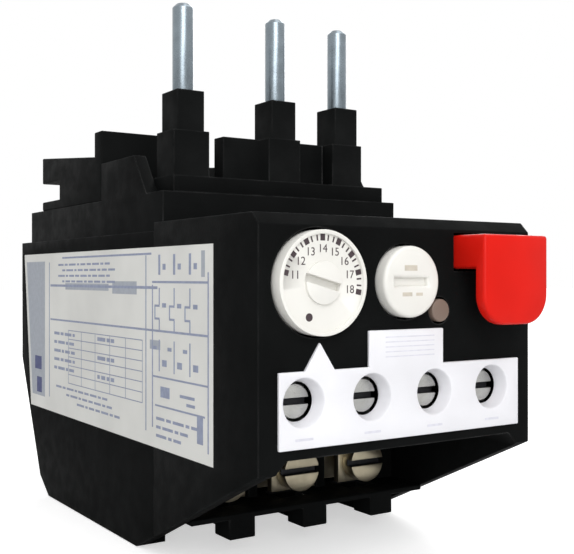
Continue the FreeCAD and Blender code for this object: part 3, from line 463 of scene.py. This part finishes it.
def make_finishes():
    """Every finish by its slot's name, and the inks"""
    colours = finish_colours()
    return {
        # the lighter edges of the black and red mouldings are partly wear and partly a painted
        # highlight
        "housing_black": moulded("black_moulding", colours.housing, 0.58, grain=0.28 * MM,
                                 depth=0.02 * MM, mottle=0.15, wear_and_highlight=0.085, gloss=0.1, index=1.2),
        "inner_plastic": moulded("inner_moulding", INNER_GREY, 0.5, depth=0.015 * MM,
                                 mottle=0.15),
        "plate_white": moulded("plate_moulding", colours.plate, 0.42, mottle=0.03),
        "control_white": moulded("control_moulding", colours.control, 0.4, mottle=0.04),
        "stop_red": moulded("red_moulding", colours.stop, 0.36, mottle=0.05, wear_and_highlight=0.05, gloss=0.2,
                            index=1.35),
        "flag_brown": moulded("flag_moulding", colours.flag, 0.45, mottle=0.15),
        "label_paper": film("label_film", colours.label),
        "pin_plated": plated("pin_plating", colours.pin, 0.29, PIN_LINES),
        "screw_zinc": plated("screw_plating", colours.zinc, 0.3, TURNED_LINES, TURNED_WIDTH),
        "terminal_plated": plated("terminal_plating", colours.tin, 0.34, LYING_STRIP),
        "copper_strip": plated("copper_strip", COPPER, 0.32, UPRIGHT_STRIP),
        "bimetal": plated("bimetal_strip", BIMETAL, 0.36, UPRIGHT_STRIP),
        "heater_strip": plated("heater_strip", HEATER_ALLOY, 0.42, HEATER_LINES),
        "spring_steel": plated("spring_wire", SPRING_STEEL, 0.28, WIRE_LINES),
        "load_plating": plated("load_plating", LOAD_PLATING, 0.36, TURNED_LINES, TURNED_WIDTH),
        # painted shade in the screws' slots
        "slot_shade": ink("painted_slot_shade", SLOT_SHADE),
        # printed tint, which on the rear panel is also painted shade
        "tint_and_shade": ink("label_tint_and_shade", LABEL_TINT_AND_SHADE, rub=0.1),
        "navy_ink": ink("navy_ink", NAVY),
        "label_ink": ink("label_ink", colours.label_ink),
        "dark_ink": ink("dark_ink", colours.dark_ink),
        "faint_ink": ink("faint_ink", FAINT_GREY, rub=0.1),
        "beige_ink": ink("beige_ink", DASH_BEIGE, rub=0.15),
    }


FINISHES = {}


def finish(name):
    """The finish with this name, made when it is first asked for"""
    if not FINISHES:
        FINISHES.update(make_finishes())
    return FINISHES[name]


# ---------------------------------------------------------------- shapes

def new_piece(name, mesh, body, slot, material=None, stands_for=()):
    """A piece at the origin that rides on its body, in its slot's finish unless told otherwise"""
    piece = bpy.data.objects.new(name, mesh)
    bpy.context.scene.collection.objects.link(piece)
    mesh.materials.clear()
    mesh.materials.append(material or finish(slot))
    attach(piece, body)
    if stands_for:
        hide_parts(*stands_for)
    return piece


def joined_shape(node):
    """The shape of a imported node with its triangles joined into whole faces"""
    shape = bmesh.new()
    shape.from_mesh(NODES[node].data)
    bmesh.ops.remove_doubles(shape, verts=shape.verts, dist=WELD)
    bmesh.ops.dissolve_limit(shape, angle_limit=FLAT_ANGLE, verts=shape.verts, edges=shape.edges)
    return shape


def round_edges(shape, size, steps):
    """Rounds the outer edges of a shape"""
    edges = [edge for edge in shape.edges
             if edge.is_manifold and edge.is_convex and edge.calc_face_angle(0.0) > EDGE_ANGLE]
    if edges and size > 0.0:
        bmesh.ops.bevel(shape, geom=edges, offset=size, offset_type="OFFSET", segments=steps,
                        profile=0.5, affect="EDGES", clamp_overlap=True,
                        harden_normals=False, miter_outer="SHARP")


def smooth_mesh(name, shape):
    """A mesh made of a shape, smooth except at its corners"""
    bmesh.ops.triangulate(shape, faces=[face for face in shape.faces if len(face.verts) > 4])
    bmesh.ops.dissolve_degenerate(shape, dist=FINE_WELD, edges=shape.edges)
    mesh = bpy.data.meshes.new(name)
    shape.to_mesh(mesh)
    shape.free()
    mesh.shade_smooth()
    mesh.set_sharp_from_angle(angle=CORNER_ANGLE)
    return mesh


def turn_about(point, turn):
    """A turn that keeps one point where it is"""
    return Matrix.Translation(point) @ turn @ Matrix.Translation(-point)


def dressed_node(name, node, edge, steps=2, turn=None):
    """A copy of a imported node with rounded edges, in the node's place"""
    shape = joined_shape(node)
    if turn:
        shape.transform(turn)
    round_edges(shape, edge, steps)
    return new_piece(name, smooth_mesh(name, shape), BODY_OF[node], SLOT_OF[node],
                     stands_for=(node,))


def centre(node):
    """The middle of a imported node"""
    low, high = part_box(node)
    return (low + high) / 2


def flat_shape(outline, place, across, height):
    """A thin raised shape on an upright surface: its outline, its place and which way is across"""
    shape = bmesh.new()
    out = across.cross(UP)
    base = [shape.verts.new(place + across * s + UP * t) for s, t in outline]
    face = shape.faces.new(base)
    face.normal_update()
    grown = bmesh.ops.extrude_face_region(shape, geom=[face])
    for part in grown["geom"]:
        if isinstance(part, bmesh.types.BMVert):
            part.co += out * height
    bmesh.ops.recalc_face_normals(shape, faces=shape.faces)
    return shape


def merged(shapes):
    """One shape made of several, which are used up"""
    whole = bmesh.new()
    for shape in shapes:
        part = bpy.data.meshes.new("part")
        shape.to_mesh(part)
        shape.free()
        whole.from_mesh(part)
        bpy.data.meshes.remove(part)
    return whole


def bar(across, up, width, rise):
    """Outline of a bar from its middle and its size, in millimetres"""
    left, right = (across - width / 2) * MM, (across + width / 2) * MM
    foot, head = (up - rise / 2) * MM, (up + rise / 2) * MM
    return [(left, foot), (right, foot), (right, head), (left, head)]


def printed(name, shape, body, slot, ink_name):
    """A printed piece made of a shape"""
    return new_piece(name, smooth_mesh(name, shape), body, slot, finish(ink_name))


def plain_mesh(carrier):
    """The mesh that an object gives once it is evaluated, without the object"""
    bpy.context.scene.collection.objects.link(carrier)
    bpy.context.view_layer.update()
    graph = bpy.context.evaluated_depsgraph_get()
    mesh = bpy.data.meshes.new_from_object(carrier.evaluated_get(graph))
    carrier.modifiers.clear()
    bpy.data.objects.remove(carrier)
    return mesh


# ---------------------------------------------------------------- repeats

class Repeat:
    """A tree of geometry nodes whose named sizes are set on a modifier and then made real"""

    def __init__(self, name):
        self.tree = bpy.data.node_groups.new(name, "GeometryNodeTree")
        self.tree.interface.new_socket("Geometry", in_out="OUTPUT",
                                       socket_type="NodeSocketGeometry")
        self.sizes = {}
        self.input = self.tree.nodes.new("NodeGroupInput")
        self.output = self.tree.nodes.new("NodeGroupOutput")

    def size(self, name, kind, value):
        """A named input with its value"""
        socket = self.tree.interface.new_socket(name, in_out="INPUT",
                                                socket_type="NodeSocket" + kind)
        self.sizes[socket.identifier] = value
        return next(s for s in self.input.outputs if s.identifier == socket.identifier)

    def add(self, kind, inputs=None, **settings):
        """A new node of this tree"""
        return new_node(self.tree, kind, inputs, **settings)

    def make(self, name, copies, body, slot, material):
        """Ends the tree, reads its result as a plain mesh and makes the piece"""
        whole = self.add("GeometryNodeRealizeInstances", {"Geometry": copies})
        painted = self.add("GeometryNodeSetMaterial", {
            "Geometry": whole.outputs["Geometry"], "Material": material})
        self.tree.links.new(painted.outputs["Geometry"], self.output.inputs["Geometry"])
        carrier = bpy.data.objects.new(name + "_tree", bpy.data.meshes.new(name + "_tree"))
        modifier = carrier.modifiers.new("Repeat", "NODES")
        modifier.node_group = self.tree
        for identifier, value in self.sizes.items():
            modifier[identifier] = value
        mesh = plain_mesh(carrier)
        mesh.name = name
        return new_piece(name, mesh, body, slot, material)


def repeat_row(name, start, step, count, size, slot, ink_name):
    """A straight row of small printed blocks on the housing"""
    row = Repeat(name)
    line = row.add("GeometryNodeMeshLine", {
        "Count": row.size("Count", "Int", count),
        "Start Location": row.size("Start", "Vector", tuple(start)),
        "Offset": row.size("Step", "Vector", tuple(step))})
    block = row.add("GeometryNodeMeshCube", {"Size": row.size("Block", "Vector", tuple(size))})
    copies = row.add("GeometryNodeInstanceOnPoints", {
        "Points": line.outputs["Mesh"], "Instance": block.outputs["Mesh"]})
    return row.make(name, copies.outputs["Instances"], "housing", slot, finish(ink_name))


def repeat_arc(name, middle, radius, count, size):
    """Dark blocks along the dial's scale, each pointing at the dial's centre"""
    arc = Repeat(name)
    curve = arc.add("GeometryNodeCurveArc", {
        "Radius": arc.size("Radius", "Float", radius),
        "Start Angle": arc.size("Start angle", "Float", SCALE_START),
        "Sweep Angle": arc.size("Sweep", "Float", SCALE_SWEEP),
        "Resolution": SCALE_RESOLUTION})
    points = arc.add("GeometryNodeCurveToPoints", {
        "Curve": curve.outputs["Curve"], "Count": arc.size("Count", "Int", count)})
    block = arc.add("GeometryNodeMeshCube", {"Size": arc.size("Block", "Vector", tuple(size))})
    turn = arc.add("FunctionNodeAlignRotationToVector",
                   {"Vector": points.outputs["Tangent"]}, axis="X", pivot_axis="Z")
    copies = arc.add("GeometryNodeInstanceOnPoints", {
        "Points": points.outputs["Points"], "Instance": block.outputs["Mesh"],
        "Rotation": turn.outputs["Rotation"]})
    placed = arc.add("GeometryNodeTransform", {
        "Geometry": copies.outputs["Instances"],
        "Translation": arc.size("Middle", "Vector", tuple(middle)),
        "Rotation": (math.pi / 2, 0.0, 0.0)})
    return arc.make(name, placed.outputs["Geometry"], "dial", "control_white", finish("dark_ink"))


def number_shape(text, place, size, height):
    """A raised number on a face that looks to the front"""
    curve = bpy.data.curves.new("number", "FONT")
    curve.body = text
    curve.size = size
    curve.align_x = "CENTER"
    curve.align_y = "CENTER"
    curve.extrude = height / 2
    mesh = plain_mesh(bpy.data.objects.new("number", curve))
    bpy.data.curves.remove(curve)
    mesh.transform(Matrix.Translation(place) @ Matrix.Rotation(math.pi / 2, 4, "X"))
    shape = bmesh.new()
    shape.from_mesh(mesh)
    bpy.data.meshes.remove(mesh)
    bmesh.ops.remove_doubles(shape, verts=shape.verts, dist=FINE_WELD)
    return shape


# ---------------------------------------------------------------- operators

class RELAY_OT_mouldings(bpy.types.Operator):
    """Make the black mouldings: both housings, the pin towers, the rear hook and the comb"""
    bl_idname = "relay.mouldings"
    bl_label = "Mouldings"

    def execute(self, context):
        edge = relief().housing_edge
        dressed_node("front_moulding", "front_housing", edge)
        dressed_node("base_moulding", "base_housing", edge)
        dressed_node("pin_towers", "pin_carrier", edge)
        dressed_node("rear_hook", "contactor_hook", edge)
        dressed_node("wire_comb", "terminal_comb", edge)
        return {"FINISHED"}


class RELAY_OT_controls(bpy.types.Operator):
    """Make the dial with its ticks and numbers, the knob, the stop button and the indicator"""
    bl_idname = "relay.controls"
    bl_label = "Controls"

    def execute(self, context):
        fine = relief().fine_edge
        self.dial(fine)
        self.knob(fine)
        dressed_node("stop_pad", "stop_button", relief().button_edge, ROUND_STEPS)
        dressed_node("trip_flag", "trip_indicator", fine * FLAG_EDGES, ROUND_STEPS)
        return {"FINISHED"}

    def dial(self, fine):
        """The dial with its slot turned, and the scale, numbers and dot on its sunk face"""
        turn = Matrix.Rotation(relief().dial_turn, 4, "Y")
        dressed_node("dial_face", "setting_dial", fine,
                     turn=turn_about(centre("setting_dial"), turn))
        low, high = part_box("setting_dial")
        middle = (low + high) / 2
        height = relief().print_height
        radius = (high.x - low.x) / 2
        face = Vector((middle.x, low.y + DISH, middle.z))
        repeat_arc("dial_ticks", face, radius - TICK_INSET, relief().dial_ticks,
                   (*TICK_SIZE, height * 2))
        repeat_arc("dial_squares", face, radius - SQUARE_INSET, NUMBERS,
                   (*SQUARE_SIZE, height * 2 * SQUARE_LIFT))
        numbers = []
        for place in range(NUMBERS):
            angle = SCALE_START + SCALE_SWEEP * place / (NUMBERS - 1)
            where = face + Vector((math.cos(angle), 0.0, math.sin(angle))) * (radius - NUMBER_INSET)
            numbers.append(number_shape(str(LAST_NUMBER - place), where, NUMBER_SIZE, height * 2))
        printed("dial_numbers", merged(numbers), "dial", "control_white", "dark_ink")
        angles = [step * math.tau / SPOT_SIDES for step in range(SPOT_SIDES)]
        rim = [(SPOT_RADIUS * math.cos(angle), SPOT_RADIUS * math.sin(angle)) for angle in angles]
        spot = flat_shape(rim, face + SPOT_PLACE, RIGHT, height)
        printed("dial_spot", spot, "dial", "control_white", "dark_ink")

    def knob(self, fine):
        """The reset knob with a rounded rim, and the dashes printed on it"""
        dressed_node("knob_face", "reset_knob", fine * KNOB_EDGES, ROUND_STEPS)
        face = centre("reset_knob")
        face.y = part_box("reset_knob")[0].y
        dashes = [flat_shape(bar(*dash), face, RIGHT, relief().print_height)
                  for dash in KNOB_DASHES]
        printed("knob_dashes", merged(dashes), "reset_head", "control_white", "beige_ink")


class RELAY_OT_marking_plate(bpy.types.Operator):
    """Make the white plate round the auxiliary screws, with the faint rules on its tab"""
    bl_idname = "relay.marking_plate"
    bl_label = "Marking Plate"

    def execute(self, context):
        dressed_node("screw_plate", "marking_plate", relief().fine_edge * PLATE_EDGES)
        low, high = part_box("marking_plate")
        height = relief().print_height
        width, rise = TAB_RULE_SIZE
        repeat_row("tab_rules", (TAB_MIDDLE, low.y, high.z - TAB_DROP), (0.0, 0.0, -TAB_RULE_STEP),
                   TAB_RULES, (width, height * 2, rise), "plate_white", "faint_ink")
        ticks = []
        for n in AUX:
            spot = centre(f"aux_screw_{n}")
            ticks.append(flat_shape(bar(*PLATE_TICK), Vector((spot.x, low.y, spot.z)), RIGHT,
                                    height))
        printed("plate_ticks", merged(ticks), "housing", "plate_white", "faint_ink")
        return {"FINISHED"}


class RELAY_OT_label(bpy.types.Operator):
    """Make the label on the left wall, with a ruled table and a plain wiring diagram"""
    bl_idname = "relay.label"
    bl_label = "Label"

    def execute(self, context):
        dressed_node("label_sheet", "rating_label", LABEL_EDGE, 1)
        self.face = Vector((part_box("rating_label")[0].x, 0.0, 0.0))
        self.height = relief().print_height / 2
        self.tints()
        self.height = relief().print_height
        self.grid()
        self.table()
        self.diagram()
        return {"FINISHED"}

    def mark(self, y, z, length, rise):
        """A printed bar from its middle and its size, each a little thicker than the last"""
        self.height += PRINT_STEP
        return flat_shape(bar(-y, z, length, rise), self.face, FORWARD, self.height)

    def words(self, block, line, lengths, indent=0.0):
        """One line of a block of print as a row of bars, from its rear end forwards"""
        start, top, step, rise = block
        start -= indent
        bars = []
        for length in lengths:
            bars.append(self.mark(start - length / 2, top - step * line, length, rise))
            start -= length + WORD_GAP
        return bars

    def tints(self):
        """The tinted fields that the print stands on, of which the rear one follows the edge and
        also paints shade over the label's rear end
        """
        corners = [vertex.co for vertex in NODES["rating_label"].data.vertices]
        low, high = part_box("rating_label")
        foot = max(corner.y for corner in corners if corner.z < low.z + LABEL_FOOT)
        lean = (high.y - foot) / (high.z - low.z)
        lower, upper = REAR_PANEL_LEVELS
        outline = [(-(foot + lean * (lower - low.z) - REAR_PANEL_MARGIN), lower),
                   (-REAR_PANEL_FRONT, lower), (-REAR_PANEL_FRONT, upper),
                   (-(foot + lean * (upper - low.z) - REAR_PANEL_MARGIN), upper)]
        fields = [flat_shape(outline, self.face, FORWARD, self.height)]
        fields += [self.mark(*size) for size in TINTED_MARKS]
        # the rear panel darkens the label's rear end: partly printed tint, partly painted shade
        printed("label_panel", merged(fields), "housing", "label_paper", "tint_and_shade")

    def grid(self):
        """The thin lines of the table"""
        height = self.height * 2
        length, rise = TABLE_ROW_SIZE
        repeat_row("label_rows", (self.face.x, *TABLE_TOP), (0.0, 0.0, -TABLE_ROW_STEP),
                   relief().table_rows, (height, length, rise), "label_paper", "label_ink")
        length, rise = TABLE_COLUMN_SIZE
        repeat_row("label_columns", (self.face.x, *TABLE_SIDE), (0.0, -TABLE_COLUMN_STEP, 0.0),
                   TABLE_COLUMNS, (height, length, rise), "label_paper", "label_ink")

    def table(self):
        """The rules of the label, the lines of print round the table and the two stamps"""
        marks = [self.mark(*size) for size in LABEL_RULES]
        for line in range(HEADING_LINES):
            marks += self.words(HEADING, line, WORD_LENGTHS[line:] + WORD_LENGTHS[:line],
                                HEADING_INDENT * (line % 2))
        for line in range(CELL_LINES):
            first = line % 3
            marks += self.words(CELLS, line, WORD_LENGTHS[first:first + CELL_WORDS])
            marks += self.words(FIGURES, first, FIGURE_LENGTHS[line % 2:])
        for line in range(FOOTNOTE_LINES):
            marks += self.words(FOOTNOTES, line, WORD_LENGTHS[line:], FOOTNOTE_INDENT * line)
        printed("label_table", merged(marks), "housing", "label_paper", "label_ink")
        stamps = [self.mark(*size) for size in NAVY_MARKS]
        printed("label_stamps", merged(stamps), "housing", "label_paper", "navy_ink")

    def diagram(self):
        """Three heated poles above and their contacts below, in plain symbols"""
        marks = []
        for pole in range(POLES):
            line = FIRST_POLE - POLE_PITCH * pole
            marks += [self.mark(line + y, z, length, rise) for y, z, length, rise in POLE_MARKS]
        marks += [self.mark(*size) for size in DIAGRAM_FRAME]
        for line in range(CAPTION_LINES):
            marks += self.words(CAPTION, line, WORD_LENGTHS[line:CAPTION_WORDS])
        printed("label_diagram", merged(marks), "housing", "label_paper", "label_ink")


class RELAY_OT_metal(bpy.types.Operator):
    """Make the line pins, screws, clamps, washers and terminals"""
    bl_idname = "relay.metal"
    bl_label = "Metal Parts"

    def execute(self, context):
        fine = relief().fine_edge
        for n in PHASES:
            dressed_node(f"pin_{n}", f"line_pin_{n}", fine)
            screw, clamp = [dressed_node(f"load_{kind}_{n}_plated", f"load_{kind}_{n}", fine)
                            for kind in ("screw", "clamp")]
            dressed_node(f"load_terminal_{n}_plated", f"load_terminal_{n}", fine)
            for piece in (screw, clamp):
                piece.data.materials[0] = finish("load_plating")
            self.shade_slot(f"load_screw_{n}", screw)
        for n in AUX:
            screw = dressed_node(f"aux_screw_{n}_plated", f"aux_screw_{n}", fine)
            dressed_node(f"aux_washer_{n}_plated", f"aux_washer_{n}", fine)
            dressed_node(f"aux_terminal_{n}_plated", f"aux_terminal_{n}", fine)
            self.shade_slot(f"aux_screw_{n}", screw)
        return {"FINISHED"}

    def shade_slot(self, node, piece):
        """Paints shade on the floor and walls of a screw's slot"""
        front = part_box(node)[0].y
        level = centre(node).z
        # the slot's faces take a second material of painted shade
        piece.data.materials.append(finish("slot_shade"))
        for face in piece.data.polygons:
            spot = face.center
            if abs(spot.z - level) < SLOT_HALF and SLOT_FRONT < spot.y - front < SLOT_REACH:
                face.material_index = 1


class RELAY_OT_springs(bpy.types.Operator):
    """Make the reset and stop springs"""
    bl_idname = "relay.springs"
    bl_label = "Springs"

    def execute(self, context):
        for spring, joint in (("reset_spring", "reset_push"), ("stop_spring", "stop_push")):
            coil = dressed_node(spring.replace("spring", "coil"), spring, 0.0)
            low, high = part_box(spring)
            seat = centre(spring)
            seat.y = high.y
            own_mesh(coil)
        return {"FINISHED"}


class RELAY_OT_inner_parts(bpy.types.Operator):
    """Give the parts inside the housing their finishes"""
    bl_idname = "relay.inner_parts"
    bl_label = "Inner Parts"

    def execute(self, context):
        for name, node in NODES.items():
            for place in node.material_slots:
                place.material = finish(SLOT_OF[name])
        return {"FINISHED"}


class RELAY_OT_stage(bpy.types.Operator):
    """Make the pale floor, the lamps, the world and the camera"""
    bl_idname = "relay.stage"
    bl_label = "Stage"

    def execute(self, context):
        self.floor()
        self.world(context.scene)
        for name, place, size, power in LAMPS:
            lamp = bpy.data.lights.new(name, "AREA")
            lamp.shape = "RECTANGLE"
            lamp.size, lamp.size_y = size
            lamp.energy = power
            holder = bpy.data.objects.new(name, lamp)
            context.scene.collection.objects.link(holder)
            holder.location = place
            aim = LAMP_AIM - Vector(place)
            holder.rotation_euler = aim.to_track_quat("-Z", "Y").to_euler()
        self.camera(context.scene)
        context.scene.view_settings.view_transform = "Standard"
        return {"FINISHED"}

    def floor(self):
        """A pale floor that the camera sees as white, apart from the shadow near the relay"""
        mesh = bpy.data.meshes.new("floor")
        corners = [(-FLOOR_REACH, -FLOOR_REACH), (FLOOR_REACH, -FLOOR_REACH),
                   (FLOOR_REACH, FLOOR_REACH), (-FLOOR_REACH, FLOOR_REACH)]
        mesh.from_pydata([(x, y, FLOOR_LEVEL) for x, y in corners], [], [(0, 1, 2, 3)])
        floor = bpy.data.objects.new("floor", mesh)
        bpy.context.scene.collection.objects.link(floor)
        made = Finish("pale_floor")
        cloud = made.between(made.noise(FLOOR_BLOTCH, detail=3.0), 0.0, 1.0)
        darker, lighter = [(tone, tone, tone, 1.0) for tone in FLOOR_TONES]
        made.set("Base Color", made.blend(cloud, darker, lighter))
        made.set("Roughness", FLOOR_ROUGHNESS)
        made.set("Specular IOR Level", FLOOR_GLOSS)
        seen = made.add("ShaderNodeLightPath")
        away = made.add("ShaderNodeVectorMath", {0: made.place}, operation="LENGTH")
        level = made.between(away.outputs["Value"], FLOOR_LIFT, 1.0, FLOOR_NEAR, FLOOR_FAR)
        lift = made.add("ShaderNodeMath", {0: seen.outputs["Is Camera Ray"], 1: level},
                        operation="MULTIPLY")
        made.set("Emission Color", (1.0, 1.0, 1.0, 1.0))
        made.set("Emission Strength", lift.outputs["Value"])
        mesh.materials.append(made.material)

    def world(self, scene):
        """A plain level of light, which the camera, gloss and glass see as white"""
        world = bpy.data.worlds.new("studio")
        world.use_nodes = True
        tree = world.node_tree
        tree.nodes.clear()
        path = new_node(tree, "ShaderNodeLightPath").outputs
        seen = new_node(tree, "ShaderNodeMath", {
            0: path["Is Camera Ray"], 1: path["Is Glossy Ray"]}, operation="MAXIMUM")
        through = new_node(tree, "ShaderNodeMath", {
            0: seen.outputs["Value"], 1: path["Is Transmission Ray"]}, operation="MAXIMUM")
        strength = new_node(tree, "ShaderNodeMapRange", {
            "Value": through.outputs["Value"], "To Min": WORLD_LEVEL, "To Max": 1.0})
        light = new_node(tree, "ShaderNodeBackground", {
            "Color": (1.0, 1.0, 1.0, 1.0), "Strength": strength.outputs["Result"]})
        new_node(tree, "ShaderNodeOutputWorld", {"Surface": light.outputs["Background"]})
        scene.world = world

    def camera(self, scene):
        """A level camera in front of the relay and to its left"""
        lens = bpy.data.cameras.new("camera")
        lens.sensor_width = CAMERA_SENSOR
        lens.lens = CAMERA_LENS
        lens.clip_start = CAMERA_NEAREST
        camera = bpy.data.objects.new("camera", lens)
        scene.collection.objects.link(camera)
        camera.location = CAMERA_PLACE
        camera.rotation_euler = CAMERA_LINE.to_track_quat("-Z", "Y").to_euler()
        scene.camera = camera


class RELAY_PT_panel(bpy.types.Panel):
    """Sizes, colours and one button for each group of pieces"""
    bl_idname = "RELAY_PT_panel"
    bl_label = "Overload Relay"
    bl_space_type = "VIEW_3D"
    bl_region_type = "UI"
    bl_category = "Relay"

    def draw(self, context):
        for group in (relief(), finish_colours()):
            box = self.layout.box()
            for name in group.__annotations__:
                box.prop(group, name)
        for operator in OPERATORS:
            self.layout.operator(operator.bl_idname)


OPERATORS = (RELAY_OT_inner_parts, RELAY_OT_mouldings, RELAY_OT_controls, RELAY_OT_marking_plate,
             RELAY_OT_label, RELAY_OT_metal, RELAY_OT_springs, RELAY_OT_stage)
CLASSES = (ReliefSettings, FinishSettings) + OPERATORS + (RELAY_PT_panel,)


def register():
    """Registers every class and the settings of the scene"""
    for item in CLASSES:
        bpy.utils.register_class(item)
    bpy.types.Scene.relay_relief = PointerProperty(type=ReliefSettings)
    bpy.types.Scene.relay_finish = PointerProperty(type=FinishSettings)


def unregister():
    """Takes the settings and classes away again"""
    del bpy.types.Scene.relay_finish
    del bpy.types.Scene.relay_relief
    for item in reversed(CLASSES):
        bpy.utils.unregister_class(item)


def main():
    """Makes the relay and its stage"""
    register()
    bpy.ops.relay.inner_parts()
    bpy.ops.relay.mouldings()
    bpy.ops.relay.controls()
    bpy.ops.relay.marking_plate()
    bpy.ops.relay.label()
    bpy.ops.relay.metal()
    bpy.ops.relay.springs()
    bpy.ops.relay.stage()


if __name__ == "__main__":
    main()
